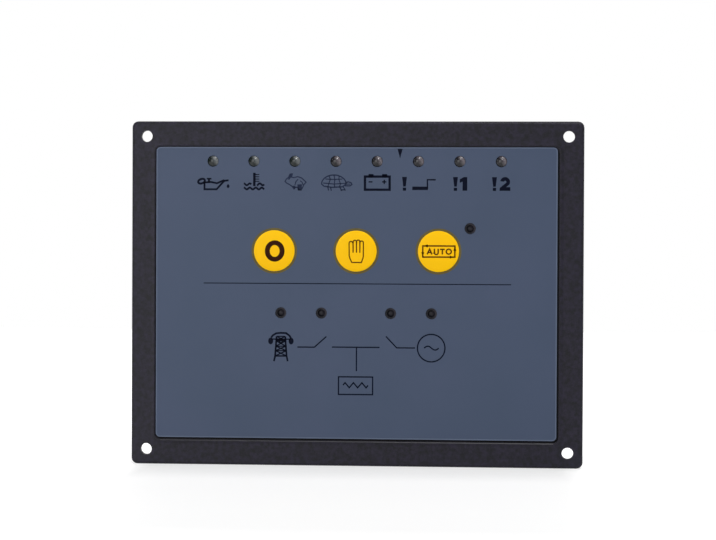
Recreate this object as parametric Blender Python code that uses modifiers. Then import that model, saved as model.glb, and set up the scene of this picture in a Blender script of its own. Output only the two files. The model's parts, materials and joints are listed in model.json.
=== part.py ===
"""Panel-mounted generator set controller: moulded bezel, printed facia film, boards and rear cover.

Metres, +Z up. The operator's face looks along -Y. The origin is the centre of the panel cut-out,
in the plane where the flange seats on the panel: everything at positive Y is behind that panel.
"""

import math
from collections import namedtuple

import bmesh
import bpy
from mathutils import Matrix, Vector

# Clearances
GAP = 0.0003  # between pieces that rest on or fit in each other
RUNNING_GAP = 0.0002  # round a piece that slides
JOIN_LAP = 0.0006  # depth by which a boss or rib enters the wall that carries it
OVERCUT = 0.0020  # length by which a cutter passes the wall that it cuts

# Face and flange of the bezel
FACE_WIDTH = 0.180
FACE_HEIGHT = 0.137
FACE_CORNER_RADIUS = 0.0024
FACE_EDGE_RADIUS = 0.0010
FLANGE_DEPTH = 0.0050
FLANGE_WALL = 0.0028
FLANGE_SIDE = 0.0140  # flange beside the housing
SKIRT_WIDTH = 0.0022
CORE_CORNER_RADIUS = 0.0010
RIB_WIDTH = 0.0014
RIB_PITCH = 0.0240
FIXING_INSET = 0.0060
FIXING_RADIUS = 0.0023
FIXING_BOSS_RADIUS = 0.0043
FIXING_RELIEF = 0.0005  # added to the hole's radius behind the flange wall

# Facia film and the recess that holds it
BORDER_SIDE = 0.0095
BORDER_TOP = 0.0099
FILM_CLEARANCE = 0.0006  # round the film in its recess
FILM_THICKNESS = 0.0004
FILM_CORNER_RADIUS = 0.0017
RECESS_DEPTH = 0.0010
BED_WALL = 0.0024

# Keys, measured on the film
KEY_RADIUS = 0.0084
KEY_EMBOSS = 0.00025
KEY_EMBOSS_SLOPE = 0.0008
KEY_PITCH = 0.0327
KEY_ROW_DROP = 0.0410  # below the film's top edge
KEY_OPENING_RADIUS = 0.0060
KEY_NAMES = ("stop", "manual", "auto")

# Indicator lamps
WARNING_NAMES = (
    "oil_pressure",
    "coolant_temperature",
    "overspeed",
    "underspeed",
    "charge_failure",
    "start_failure",
    "warning_one",
    "warning_two",
)
LAMP_RADIUS = 0.0025
LAMP_RIM_WIDTH = 0.0004
LAMP_RIM_HEIGHT = 0.0010
LAMP_HEIGHT = 0.0086
LAMP_PROUD = 0.0005  # warning row, ahead of the film
LAMP_RECESS = 0.0009  # other lamps, behind the film's front
LEAD_SPACING = 0.00254
LEAD_WIDTH = 0.0006
LEAD_TAIL = 0.0012
WARNING_ROW_MARGIN = 0.0225
WARNING_ROW_DROP = 0.0054
AUTO_LAMP_OFFSET = 0.0125
AUTO_LAMP_DROP = 0.0319
SUPPLY_LAMP_X = 0.0300
SWITCH_LAMP_X = 0.0138
SUPPLY_ROW_DROP = 0.0657

# Housing behind the panel
HOUSING_WALL = 0.0024
HOUSING_CORNER_RADIUS = 0.0040
LAMP_WALL_CLEARANCE = 0.0006
SPIGOT_DEPTH = 0.0090
TONGUE_WALL = 0.0010
TONGUE_DEPTH = 0.0025
COVER_EDGE_RADIUS = 0.0012
CONNECTOR_ROOM = 0.0092  # behind the terminal board
VENT_WIDTH = 0.0020
VENT_PITCH = 0.0062
VENT_END_MARGIN = 0.0050
VENT_SIDE_MARGIN = 0.0250

# Boards and the columns that hold them
BOARD_THICKNESS = 0.0016
BOARD_CLEARANCE = 0.0005
BOARD_CORNER_RADIUS = 0.0020
RELAY_HEADROOM = 0.0020
COLUMN_CLEARANCE = 0.0006  # between a cover boss and the walls
COLUMN_BOSS_RADIUS = 0.0036
STANDOFF_WIDTH = 0.0055  # across flats
STUD_RADIUS = 0.0015
STUD_LENGTH = 0.0050
BORE_END_ROOM = 0.0010  # between a stud's end and the end of its bore
COVER_BOSS_RADIUS = 0.0045
COVER_BOSS_HEIGHT = 0.0015
SCREW_HEAD_RADIUS = 0.0028
SCREW_HEAD_HEIGHT = 0.0019
SCREW_CROWN_RADIUS = 0.0019  # flat top of the head
SCREW_CROWN_HEIGHT = 0.0006
SCREW_GRIP = 0.0035  # length of shank in the standoff
SCREW_SINK = 0.0012  # depth of the head's counterbore
DRIVER_SLOT_WIDTH = 0.0007
DRIVER_SLOT_LENGTH = 0.0032
DRIVER_SLOT_DEPTH = 0.0011

# Push switches behind the keys
SWITCH_WIDTH = 0.0062
SWITCH_HEIGHT = 0.0035
SWITCH_ROOF = 0.0009
SWITCH_CORNER_RADIUS = 0.0005
PLUNGER_RADIUS = 0.00175
PLUNGER_COLLAR = 0.00035
PLUNGER_COLLAR_HEIGHT = 0.0008
PLUNGER_TRAVEL = 0.00025
PLUNGER_TIP_BEVEL = 0.0003

# Relays, in a row above and a row below the aisle that holds the supply's parts and the link
RELAY_HEIGHT = 0.0150
SMALL_RELAY_WIDTH = 0.0190
SMALL_RELAY_LENGTH = 0.0155
LOAD_RELAY_WIDTH = 0.0290
LOAD_RELAY_LENGTH = 0.0127
RELAY_SPACING = 0.0040
AISLE_CLEARANCE = 0.0010  # between the link and the relays
AISLE_SPACING = 0.0025  # between parts along the aisle
RELAY_EDGE_RADIUS = 0.0006
SMALL_RELAY_NAMES = ("fuel_relay", "start_relay", "auxiliary_relay")
LOAD_RELAY_NAMES = ("mains_load_relay", "generator_load_relay")

# Plug headers at the back
HEADER_WIDTH = 0.0098
HEADER_WALL = 0.0010
HEADER_END = 0.0015
HEADER_FLOOR = 0.0030
HEADER_PROUD = 0.0004
HEADER_INSET = 0.0140
HEADER_SIDE_MARGIN = 0.0180
HEADER_KEY_DEPTH = 0.0005
PIN_WIDTH = 0.0010
PIN_OFFSET = 0.0011
PIN_RECESS = 0.0022
PIN_TAIL = 0.0014
SMALL_PITCH = 0.00508
LARGE_PITCH = 0.00762
CONTROL_WAYS = 13
SENSING_WAYS = 6
LOAD_WAYS = 4

# Data socket for a service lead
SOCKET_WIDTH = 0.0158
SOCKET_HEIGHT = 0.0134
SOCKET_PORT_WIDTH = 0.0118
SOCKET_PORT_HEIGHT = 0.0068
SOCKET_LATCH_WIDTH = 0.0060
SOCKET_LATCH_HEIGHT = 0.0026
SOCKET_PORT_DEPTH = 0.0075
SOCKET_CORNER_RADIUS = 0.0004

# Link between the two boards, and the supply's own components
LINK_PINS = 6
LINK_PITCH = 0.00254
LINK_WIDTH = 0.0056
LINK_PIN_WIDTH = 0.0006
LINK_SOCKET_HEIGHT = 0.0085
LINK_PIN_DEPTH = 0.0040
CHIP_WIDTH = 0.0120
CHIP_HEIGHT = 0.0015
CHIP_CORNER_RADIUS = 0.0005
CHIP_RISE = 0.0160  # above the display board's lower edge
CAPACITOR_RADIUS = 0.0050
CAPACITOR_HEIGHT = 0.0125
CAPACITOR_GROOVE_DEPTH = 0.0005
CAPACITOR_GROOVE_RISE = 0.0018  # above the board
INDUCTOR_RADIUS = 0.0060
INDUCTOR_WAIST = 0.0046
INDUCTOR_HEIGHT = 0.0080
INDUCTOR_FLANGE = 0.0012
SUPPRESSOR_RADIUS = 0.0055
SUPPRESSOR_THICKNESS = 0.0042

# Facets
CORNER_SEGMENTS = 4
LAMP_SEGMENTS = 12
HOLE_SEGMENTS = 12
FIXING_SEGMENTS = 18
STUD_SEGMENTS = 8
COIL_SEGMENTS = 16
KEY_SEGMENTS = 28
DOME_RINGS = 3

# Planes along Y, front to back
FACE_FRONT = -FLANGE_DEPTH
BED_FRONT = FACE_FRONT + RECESS_DEPTH
BED_REAR = BED_FRONT + BED_WALL
FILM_REAR = BED_FRONT - GAP
FILM_FRONT = FILM_REAR - FILM_THICKNESS
PROUD_TIP = FILM_FRONT - LAMP_PROUD
RECESSED_TIP = FILM_FRONT + LAMP_RECESS
DISPLAY_FRONT = RECESSED_TIP + LAMP_HEIGHT + GAP
DISPLAY_REAR = DISPLAY_FRONT + BOARD_THICKNESS
TERMINAL_FRONT = DISPLAY_REAR + RELAY_HEADROOM + RELAY_HEIGHT + GAP
TERMINAL_REAR = TERMINAL_FRONT + BOARD_THICKNESS
COVER_FRONT = SPIGOT_DEPTH + GAP
COVER_INSIDE = TERMINAL_REAR + CONNECTOR_ROOM
COVER_REAR = COVER_INSIDE + HOUSING_WALL

# The warning lamps' domes pass through the film, so its windows clear them where they are widest.
DOME_DEPTH = min(FILM_REAR - PROUD_TIP, LAMP_RADIUS)
WINDOW_RADIUS = math.sqrt(LAMP_RADIUS**2 - (LAMP_RADIUS - DOME_DEPTH) ** 2) + GAP
STUD_BORE_DEPTH = STUD_LENGTH - BOARD_THICKNESS - 2 * GAP + BORE_END_ROOM
SCREW_BORE_DEPTH = SCREW_GRIP + BORE_END_ROOM

# Half sizes across the face
RECESS_HALF_X = FACE_WIDTH / 2 - BORDER_SIDE
RECESS_HALF_Z = FACE_HEIGHT / 2 - BORDER_TOP
FILM_HALF_X = RECESS_HALF_X - FILM_CLEARANCE
FILM_HALF_Z = RECESS_HALF_Z - FILM_CLEARANCE
WARNING_Z = FILM_HALF_Z - WARNING_ROW_DROP
KEY_Z = FILM_HALF_Z - KEY_ROW_DROP
HOUSING_HALF_X = FACE_WIDTH / 2 - FLANGE_SIDE
HOUSING_HALF_Z = WARNING_Z + LAMP_RADIUS + LAMP_RIM_WIDTH + LAMP_WALL_CLEARANCE + HOUSING_WALL
INSIDE_HALF_X = HOUSING_HALF_X - HOUSING_WALL
INSIDE_HALF_Z = HOUSING_HALF_Z - HOUSING_WALL
TONGUE_HALF_X = INSIDE_HALF_X + TONGUE_WALL
TONGUE_HALF_Z = INSIDE_HALF_Z + TONGUE_WALL
BOARD_HALF_X = INSIDE_HALF_X - BOARD_CLEARANCE
BOARD_HALF_Z = INSIDE_HALF_Z - BOARD_CLEARANCE
COLUMN_X = INSIDE_HALF_X - COVER_BOSS_RADIUS - COLUMN_CLEARANCE
COLUMN_Z = INSIDE_HALF_Z - COVER_BOSS_RADIUS - COLUMN_CLEARANCE
HEADER_Z = HOUSING_HALF_Z - HEADER_INSET
RELAY_AISLE = LINK_PINS * LINK_PITCH + 2 * AISLE_CLEARANCE
HEADER_EDGE_X = HOUSING_HALF_X - HEADER_SIDE_MARGIN

COLUMNS = [(side * COLUMN_X, level * COLUMN_Z) for level in (1, -1) for side in (-1, 1)]
COLUMN_NAMES = ("top_left", "top_right", "bottom_left", "bottom_right")


def lamp_places():
    """Name, x, z and tip plane of each indicator lamp."""
    step = 2 * (FILM_HALF_X - WARNING_ROW_MARGIN) / (len(WARNING_NAMES) - 1)
    first = WARNING_ROW_MARGIN - FILM_HALF_X
    places = [(name, first + i * step, WARNING_Z, PROUD_TIP) for i, name in enumerate(WARNING_NAMES)]
    auto_x = KEY_PITCH + AUTO_LAMP_OFFSET
    places.append(("auto_mode", auto_x, FILM_HALF_Z - AUTO_LAMP_DROP, RECESSED_TIP))
    supply_z = FILM_HALF_Z - SUPPLY_ROW_DROP
    for name, x in (
        ("mains_available", -SUPPLY_LAMP_X),
        ("mains_on_load", -SWITCH_LAMP_X),
        ("generator_on_load", SWITCH_LAMP_X),
        ("generator_available", SUPPLY_LAMP_X),
    ):
        places.append((name, x, supply_z, RECESSED_TIP))
    return places


def key_places():
    """Name and x of each key, left to right."""
    return [(name, (i - 1) * KEY_PITCH) for i, name in enumerate(KEY_NAMES)]


Header = namedtuple("Header", "name pitch ways left right z far_side")


def plug_headers():
    """Each plug header with its ends, its middle and the side of it that the pins stand away from."""
    sensing_length = LARGE_PITCH * SENSING_WAYS + 2 * HEADER_END
    load_length = LARGE_PITCH * LOAD_WAYS + 2 * HEADER_END
    control_length = SMALL_PITCH * CONTROL_WAYS + 2 * HEADER_END
    edge = HEADER_EDGE_X
    return [
        Header("sensing_header", LARGE_PITCH, SENSING_WAYS, -edge, sensing_length - edge, HEADER_Z, 1),
        Header("load_header", LARGE_PITCH, LOAD_WAYS, edge - load_length, edge, HEADER_Z, 1),
        Header("control_header", SMALL_PITCH, CONTROL_WAYS, -edge, control_length - edge, -HEADER_Z, -1),
    ]


def header_pins(header):
    """The x and z of each pin of a header."""
    first = header.left + HEADER_END + header.pitch / 2
    z = header.z - header.far_side * PIN_OFFSET
    return [(first + header.pitch * i, z) for i in range(header.ways)]


def aisle_places():
    """The x of each part that stands in the aisle between the relays, spread round its middle."""
    widths = {
        "input_capacitor": 2 * CAPACITOR_RADIUS,
        "output_capacitor": 2 * CAPACITOR_RADIUS,
        "link": LINK_WIDTH,
        "surge_suppressor": 2 * SUPPRESSOR_RADIUS,
        "supply_inductor": 2 * INDUCTOR_RADIUS,
    }
    left = -(sum(widths.values()) + AISLE_SPACING * (len(widths) - 1)) / 2
    places = {}
    for name, width in widths.items():
        places[name] = left + width / 2
        left += width + AISLE_SPACING
    return places


def clear_scene():
    for obj in list(bpy.data.objects):
        bpy.data.objects.remove(obj, do_unlink=True)
    for collection in list(bpy.data.collections):
        bpy.data.collections.remove(collection)


def new_collection(name, hidden=False):
    collection = bpy.data.collections.new(name)
    collection.hide_render = hidden
    bpy.context.scene.collection.children.link(collection)
    return collection


def make_material(name, colour, roughness, metallic=0.0):
    material = bpy.data.materials.new(name)
    material.use_nodes = True
    shader = material.node_tree.nodes["Principled BSDF"]
    shader.inputs["Base Color"].default_value = (*colour, 1.0)
    shader.inputs["Roughness"].default_value = roughness
    shader.inputs["Metallic"].default_value = metallic
    material.diffuse_color = (*colour, 1.0)
    return material


def add_block(bm, x, y, z, radius=0.0, segments=CORNER_SEGMENTS, front_edge=0.0, rear_edge=0.0):
    """Box over the spans x, y and z, with rounded edges along Y and round its front or rear outline."""
    low, high = Vector((x[0], y[0], z[0])), Vector((x[1], y[1], z[1]))
    place = Matrix.Translation((low + high) / 2) @ Matrix.Diagonal((*(high - low), 1.0))
    known = set(bm.verts)
    bmesh.ops.create_cube(bm, size=1.0, matrix=place)
    if radius > 0:
        upright = [
            edge
            for edge in bm.edges
            if edge.verts[0] not in known and abs(edge.verts[0].co.y - edge.verts[1].co.y) > 1e-7
        ]
        bmesh.ops.bevel(bm, geom=upright, offset=radius, segments=segments, profile=0.5, affect="EDGES")
    for plane, size in ((y[0], front_edge), (y[1], rear_edge)):
        if size > 0:
            outline = [
                edge
                for edge in bm.edges
                if edge.verts[0] not in known and all(abs(v.co.y - plane) < 1e-7 for v in edge.verts)
            ]
            bmesh.ops.bevel(bm, geom=outline, offset=size, segments=2, profile=0.5, affect="EDGES")


def add_rod(bm, x, z, y, radius, rear_radius=None, segments=HOLE_SEGMENTS):
    """Round bar along Y over the span y. With a rear radius it tapers."""
    rear_radius = radius if rear_radius is None else rear_radius
    place = Matrix.Translation((x, (y[0] + y[1]) / 2, z)) @ Matrix.Rotation(math.radians(90), 4, "X")
    bmesh.ops.create_cone(
        bm,
        cap_ends=True,
        segments=segments,
        radius1=rear_radius,
        radius2=radius,
        depth=y[1] - y[0],
        matrix=place,
    )


class Workshop:
    """Makes objects in the product's collection, and the helpers that cut or extend them."""

    def __init__(self):
        self.product = new_collection("genset_controller")
        self.cutters = new_collection("cutters", hidden=True)

    def piece(self, name, bm, material, smooth_angle=35):
        mesh = bpy.data.meshes.new(name)
        bmesh.ops.recalc_face_normals(bm, faces=bm.faces)
        bm.to_mesh(mesh)
        bm.free()
        mesh.materials.append(material)
        mesh.shade_smooth()
        mesh.set_sharp_from_angle(angle=math.radians(smooth_angle))
        obj = bpy.data.objects.new(name, mesh)
        self.product.objects.link(obj)
        return obj

    def helper(self, name, bm, material=None):
        mesh = bpy.data.meshes.new(name)
        bmesh.ops.recalc_face_normals(bm, faces=bm.faces)
        bm.to_mesh(mesh)
        bm.free()
        if material is not None:
            mesh.materials.append(material)
        obj = bpy.data.objects.new(name, mesh)
        obj.hide_render = True
        obj.display_type = "WIRE"
        self.cutters.objects.link(obj)
        return obj

    def combine(self, target, tool, operation):
        modifier = target.modifiers.new(f"{operation.lower()}_{tool.name}", "BOOLEAN")
        modifier.operation = operation
        modifier.object = tool
        modifier.solver = "EXACT"
        modifier.material_mode = "TRANSFER"

    def cut(self, target, tool):
        self.combine(target, tool, "DIFFERENCE")

    def join(self, target, tool):
        self.combine(target, tool, "UNION")

    def turned(self, name, profile, material, place, segments, cutter=False):
        """Piece turned about its own Z from (radius, height) points that run down the outer side."""
        mesh = bpy.data.meshes.new(name)
        bm = bmesh.new()
        verts = [bm.verts.new((radius, 0.0, height)) for radius, height in profile]
        for first, second in zip(verts, verts[1:]):
            bm.edges.new((first, second))
        bm.to_mesh(mesh)
        bm.free()
        mesh.materials.append(material)
        obj = bpy.data.objects.new(name, mesh)
        (self.cutters if cutter else self.product).objects.link(obj)
        if cutter:
            obj.hide_render = True
            obj.display_type = "WIRE"
        screw = obj.modifiers.new("turn", "SCREW")
        screw.steps = segments
        screw.render_steps = segments
        screw.use_merge_vertices = True
        screw.merge_threshold = 0.00001
        screw.use_smooth_shade = True
        # Local +Z looks out of the face, along -Y.
        obj.matrix_world = Matrix.Translation(place) @ Matrix.Rotation(math.radians(90), 4, "X")
        return obj


def make_materials():
    return {
        "bezel": make_material("moulded_black_abs", (0.022, 0.021, 0.026), 0.55),
        "film": make_material("printed_slate_film", (0.075, 0.090, 0.125), 0.45),
        "key": make_material("printed_yellow_key", (0.95, 0.53, 0.005), 0.45),
        "clear_lamp": make_material("clear_lamp_lens", (0.10, 0.11, 0.10), 0.12),
        "dark_lamp": make_material("dark_lamp_lens", (0.015, 0.018, 0.016), 0.15),
        "board": make_material("glass_epoxy_board", (0.012, 0.11, 0.045), 0.35),
        "switch": make_material("switch_housing", (0.03, 0.03, 0.03), 0.5),
        "plunger": make_material("switch_plunger", (0.30, 0.30, 0.28), 0.5),
        "brass": make_material("nickel_plated_brass", (0.62, 0.60, 0.54), 0.3, 1.0),
        "steel": make_material("zinc_plated_steel", (0.60, 0.61, 0.62), 0.28, 1.0),
        "relay": make_material("relay_case", (0.008, 0.030, 0.110), 0.35),
        "header": make_material("green_header", (0.010, 0.150, 0.055), 0.45),
        "socket": make_material("black_socket", (0.018, 0.018, 0.018), 0.45),
        "chip": make_material("chip_package", (0.025, 0.025, 0.026), 0.6),
        "capacitor": make_material("capacitor_sleeve", (0.020, 0.020, 0.060), 0.35),
        "ferrite": make_material("ferrite", (0.055, 0.052, 0.050), 0.5),
        "suppressor": make_material("suppressor_coating", (0.03, 0.10, 0.30), 0.4),
    }


def make_bezel(shop, materials):
    """Moulded front: cored flange, bed for the film, spigot for the cover and bosses for the boards."""
    half_x, half_z = FACE_WIDTH / 2, FACE_HEIGHT / 2
    bm = bmesh.new()
    add_block(
        bm,
        (-half_x, half_x),
        (FACE_FRONT, 0.0),
        (-half_z, half_z),
        radius=FACE_CORNER_RADIUS,
        front_edge=FACE_EDGE_RADIUS,
    )
    bezel = shop.piece("front_bezel", bm, materials["bezel"])

    core_x, core_z = half_x - SKIRT_WIDTH, half_z - SKIRT_WIDTH
    core_floor = FACE_FRONT + FLANGE_WALL
    bm = bmesh.new()
    core_depth = (core_floor, OVERCUT)
    add_block(bm, (-core_x, core_x), core_depth, (-core_z, core_z), radius=CORE_CORNER_RADIUS)
    shop.cut(bezel, shop.helper("flange_core", bm))

    bm = bmesh.new()
    add_block(
        bm,
        (-HOUSING_HALF_X, HOUSING_HALF_X),
        (core_floor - JOIN_LAP, SPIGOT_DEPTH),
        (-HOUSING_HALF_Z, HOUSING_HALF_Z),
        radius=HOUSING_CORNER_RADIUS,
    )
    shop.join(bezel, shop.helper("spigot_outside", bm))
    shop.join(bezel, flange_ribs(shop, core_floor))
    shop.join(bezel, fixing_bosses(shop, core_floor))
    shop.cut(bezel, fixing_reliefs(shop, core_floor))

    bm = bmesh.new()
    add_block(
        bm,
        (-INSIDE_HALF_X, INSIDE_HALF_X),
        (BED_REAR, SPIGOT_DEPTH + OVERCUT),
        (-INSIDE_HALF_Z, INSIDE_HALF_Z),
        radius=HOUSING_CORNER_RADIUS - HOUSING_WALL,
    )
    shop.cut(bezel, shop.helper("spigot_inside", bm))

    rebate_x, rebate_z = TONGUE_HALF_X + GAP, TONGUE_HALF_Z + GAP
    bm = bmesh.new()
    add_block(
        bm,
        (-rebate_x, rebate_x),
        (SPIGOT_DEPTH - TONGUE_DEPTH, SPIGOT_DEPTH + OVERCUT),
        (-rebate_z, rebate_z),
        radius=HOUSING_CORNER_RADIUS - HOUSING_WALL + TONGUE_WALL + GAP,
    )
    shop.cut(bezel, shop.helper("spigot_rebate", bm))

    bm = bmesh.new()
    for x, z in COLUMNS:
        add_rod(bm, x, z, (BED_REAR - JOIN_LAP, DISPLAY_FRONT - GAP), COLUMN_BOSS_RADIUS)
    shop.join(bezel, shop.helper("column_bosses", bm))
    shop.cut(bezel, bezel_openings(shop))
    return bezel


def flange_ribs(shop, core_floor):
    """Ribs across the cored flange, from the skirt to the spigot, kept away from the fixing bosses."""
    bm = bmesh.new()
    depth = (core_floor - JOIN_LAP, 0.0)
    for half_run, inner, outer, upright in (
        (HOUSING_HALF_X, HOUSING_HALF_Z, FACE_HEIGHT / 2, True),
        (HOUSING_HALF_Z, HOUSING_HALF_X, FACE_WIDTH / 2, False),
    ):
        free = half_run - HOUSING_CORNER_RADIUS - RIB_WIDTH
        count = max(2, int(2 * free / RIB_PITCH) + 1)
        for i in range(count):
            at = free * (2 * i / (count - 1) - 1)
            across = (at - RIB_WIDTH / 2, at + RIB_WIDTH / 2)
            for side in (-1, 1):
                along = sorted((side * (inner - JOIN_LAP), side * (outer - SKIRT_WIDTH + JOIN_LAP)))
                spans = (across, depth, along) if upright else (along, depth, across)
                add_block(bm, *spans)
    return shop.helper("flange_ribs", bm)


def fixing_places():
    x, z = FACE_WIDTH / 2 - FIXING_INSET, FACE_HEIGHT / 2 - FIXING_INSET
    return [(side * x, level * z) for side in (-1, 1) for level in (-1, 1)]


def fixing_bosses(shop, core_floor):
    bm = bmesh.new()
    for x, z in fixing_places():
        add_rod(bm, x, z, (core_floor - JOIN_LAP, 0.0), FIXING_BOSS_RADIUS, segments=FIXING_SEGMENTS)
    return shop.helper("fixing_bosses", bm)


def fixing_reliefs(shop, core_floor):
    bm = bmesh.new()
    radius = FIXING_RADIUS + FIXING_RELIEF
    for x, z in fixing_places():
        add_rod(bm, x, z, (core_floor, OVERCUT), radius, segments=FIXING_SEGMENTS)
    return shop.helper("fixing_reliefs", bm)


def bezel_openings(shop):
    """Film recess, lamp holes, key openings, fixing holes and the bores of the column bosses."""
    bm = bmesh.new()
    add_block(
        bm,
        (-RECESS_HALF_X, RECESS_HALF_X),
        (FACE_FRONT - OVERCUT, BED_FRONT),
        (-RECESS_HALF_Z, RECESS_HALF_Z),
        radius=FILM_CORNER_RADIUS + FILM_CLEARANCE,
    )
    openings = shop.helper("bezel_openings", bm)
    through = (BED_FRONT - GAP, BED_REAR + OVERCUT)
    bm = bmesh.new()
    for _, x, z, _ in lamp_places():
        add_rod(bm, x, z, through, LAMP_RADIUS + GAP, segments=LAMP_SEGMENTS)
    for _, x in key_places():
        add_rod(bm, x, KEY_Z, through, KEY_OPENING_RADIUS, segments=FIXING_SEGMENTS)
    bore_end = DISPLAY_FRONT - GAP
    for x, z in COLUMNS:
        bore = (bore_end - STUD_BORE_DEPTH, bore_end + OVERCUT)
        add_rod(bm, x, z, bore, STUD_RADIUS + GAP, segments=STUD_SEGMENTS)
    for x, z in fixing_places():
        add_rod(bm, x, z, (FACE_FRONT - OVERCUT, OVERCUT), FIXING_RADIUS, segments=FIXING_SEGMENTS)
    shop.join(openings, shop.helper("bezel_holes", bm))
    return openings


def emboss_radius(y):
    """Radius of a key's sloped side at a plane y. It is the key's own radius at the film's front."""
    return KEY_RADIUS + KEY_EMBOSS_SLOPE * (y - FILM_FRONT) / KEY_EMBOSS


def make_film(shop, materials):
    """Facia film with lamp windows. The three keys are embossed in it, so they are hollow behind."""
    bm = bmesh.new()
    add_block(
        bm,
        (-FILM_HALF_X, FILM_HALF_X),
        (FILM_FRONT, FILM_REAR),
        (-FILM_HALF_Z, FILM_HALF_Z),
        radius=FILM_CORNER_RADIUS,
    )
    film = shop.piece("facia_film", bm, materials["film"])
    emboss_front = FILM_FRONT - KEY_EMBOSS
    film_middle = (FILM_FRONT + FILM_REAR) / 2
    for name, x in key_places():
        bm = bmesh.new()
        add_rod(
            bm,
            x,
            KEY_Z,
            (emboss_front, film_middle),
            emboss_radius(emboss_front),
            rear_radius=emboss_radius(film_middle),
            segments=KEY_SEGMENTS,
        )
        shop.join(film, shop.helper(f"{name}_key_emboss", bm, materials["key"]))
    bm = bmesh.new()
    for _, x, z, _ in lamp_places():
        window = (FILM_FRONT - OVERCUT, FILM_REAR + OVERCUT)
        add_rod(bm, x, z, window, WINDOW_RADIUS, segments=LAMP_SEGMENTS)
    for _, x in key_places():
        add_rod(
            bm,
            x,
            KEY_Z,
            (FILM_REAR - KEY_EMBOSS, FILM_REAR + KEY_EMBOSS),
            emboss_radius(FILM_FRONT - 2 * KEY_EMBOSS),
            rear_radius=KEY_RADIUS,
            segments=KEY_SEGMENTS,
        )
    shop.cut(film, shop.helper("film_openings", bm, materials["film"]))
    return film


def lamp_profile():
    """Round dome, straight body and rim, from the tip at height 0 down to the base."""
    dome = []
    for i in range(DOME_RINGS + 1):
        angle = math.radians(90 * i / DOME_RINGS)
        dome.append((LAMP_RADIUS * math.sin(angle), LAMP_RADIUS * (math.cos(angle) - 1)))
    rim_top = LAMP_RIM_HEIGHT - LAMP_HEIGHT
    rim_radius = LAMP_RADIUS + LAMP_RIM_WIDTH
    return dome + [
        (LAMP_RADIUS, rim_top),
        (rim_radius, rim_top),
        (rim_radius, -LAMP_HEIGHT),
        (0.0, -LAMP_HEIGHT),
    ]


def make_lamps(shop, materials):
    for name, x, z, tip in lamp_places():
        material = materials["clear_lamp" if tip == PROUD_TIP else "dark_lamp"]
        lamp = shop.turned(f"{name}_lamp", lamp_profile(), material, (x, tip, z), LAMP_SEGMENTS)
        bm = bmesh.new()
        for side in (-1, 1):
            at = x + side * LEAD_SPACING / 2
            add_block(
                bm,
                (at - LEAD_WIDTH / 2, at + LEAD_WIDTH / 2),
                (tip + LAMP_HEIGHT - LAMP_RIM_HEIGHT / 2, DISPLAY_REAR + LEAD_TAIL),
                (z - LEAD_WIDTH / 2, z + LEAD_WIDTH / 2),
            )
        shop.join(lamp, shop.helper(f"{name}_leads", bm, materials["steel"]))


def make_switches(shop, materials):
    """Push switches behind the keys: a housing with a collar chamber, and a plunger that slides in it."""
    base = DISPLAY_FRONT - GAP
    roof = base - SWITCH_HEIGHT
    chamber_front = roof + SWITCH_ROOF
    collar_front = chamber_front + RUNNING_GAP
    collar_rear = collar_front + PLUNGER_COLLAR_HEIGHT
    chamber_rear = collar_rear + PLUNGER_TRAVEL + RUNNING_GAP
    tip = FILM_REAR - KEY_EMBOSS + GAP
    collar_radius = PLUNGER_RADIUS + PLUNGER_COLLAR
    for name, x in key_places():
        bm = bmesh.new()
        half = SWITCH_WIDTH / 2
        sides = (KEY_Z - half, KEY_Z + half)
        add_block(bm, (x - half, x + half), (roof, base), sides, radius=SWITCH_CORNER_RADIUS, segments=1)
        housing = shop.piece(f"{name}_switch", bm, materials["switch"])
        bore = shop.turned(
            f"{name}_switch_bore",
            [
                (0.0, OVERCUT),
                (PLUNGER_RADIUS + RUNNING_GAP, OVERCUT),
                (PLUNGER_RADIUS + RUNNING_GAP, roof - chamber_front),
                (collar_radius + RUNNING_GAP, roof - chamber_front),
                (collar_radius + RUNNING_GAP, roof - chamber_rear),
                (0.0, roof - chamber_rear),
            ],
            materials["switch"],
            (x, roof, KEY_Z),
            HOLE_SEGMENTS,
            cutter=True,
        )
        shop.cut(housing, bore)
        shop.turned(
            f"{name}_plunger",
            [
                (0.0, 0.0),
                (PLUNGER_RADIUS - PLUNGER_TIP_BEVEL, 0.0),
                (PLUNGER_RADIUS, -PLUNGER_TIP_BEVEL),
                (PLUNGER_RADIUS, tip - collar_front),
                (collar_radius, tip - collar_front),
                (collar_radius, tip - collar_rear),
                (0.0, tip - collar_rear),
            ],
            materials["plunger"],
            (x, tip, KEY_Z),
            HOLE_SEGMENTS,
        )


def board_block(name, shop, material, y):
    bm = bmesh.new()
    add_block(
        bm,
        (-BOARD_HALF_X, BOARD_HALF_X),
        y,
        (-BOARD_HALF_Z, BOARD_HALF_Z),
        radius=BOARD_CORNER_RADIUS,
        segments=2,
    )
    return shop.piece(name, bm, material)


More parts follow.
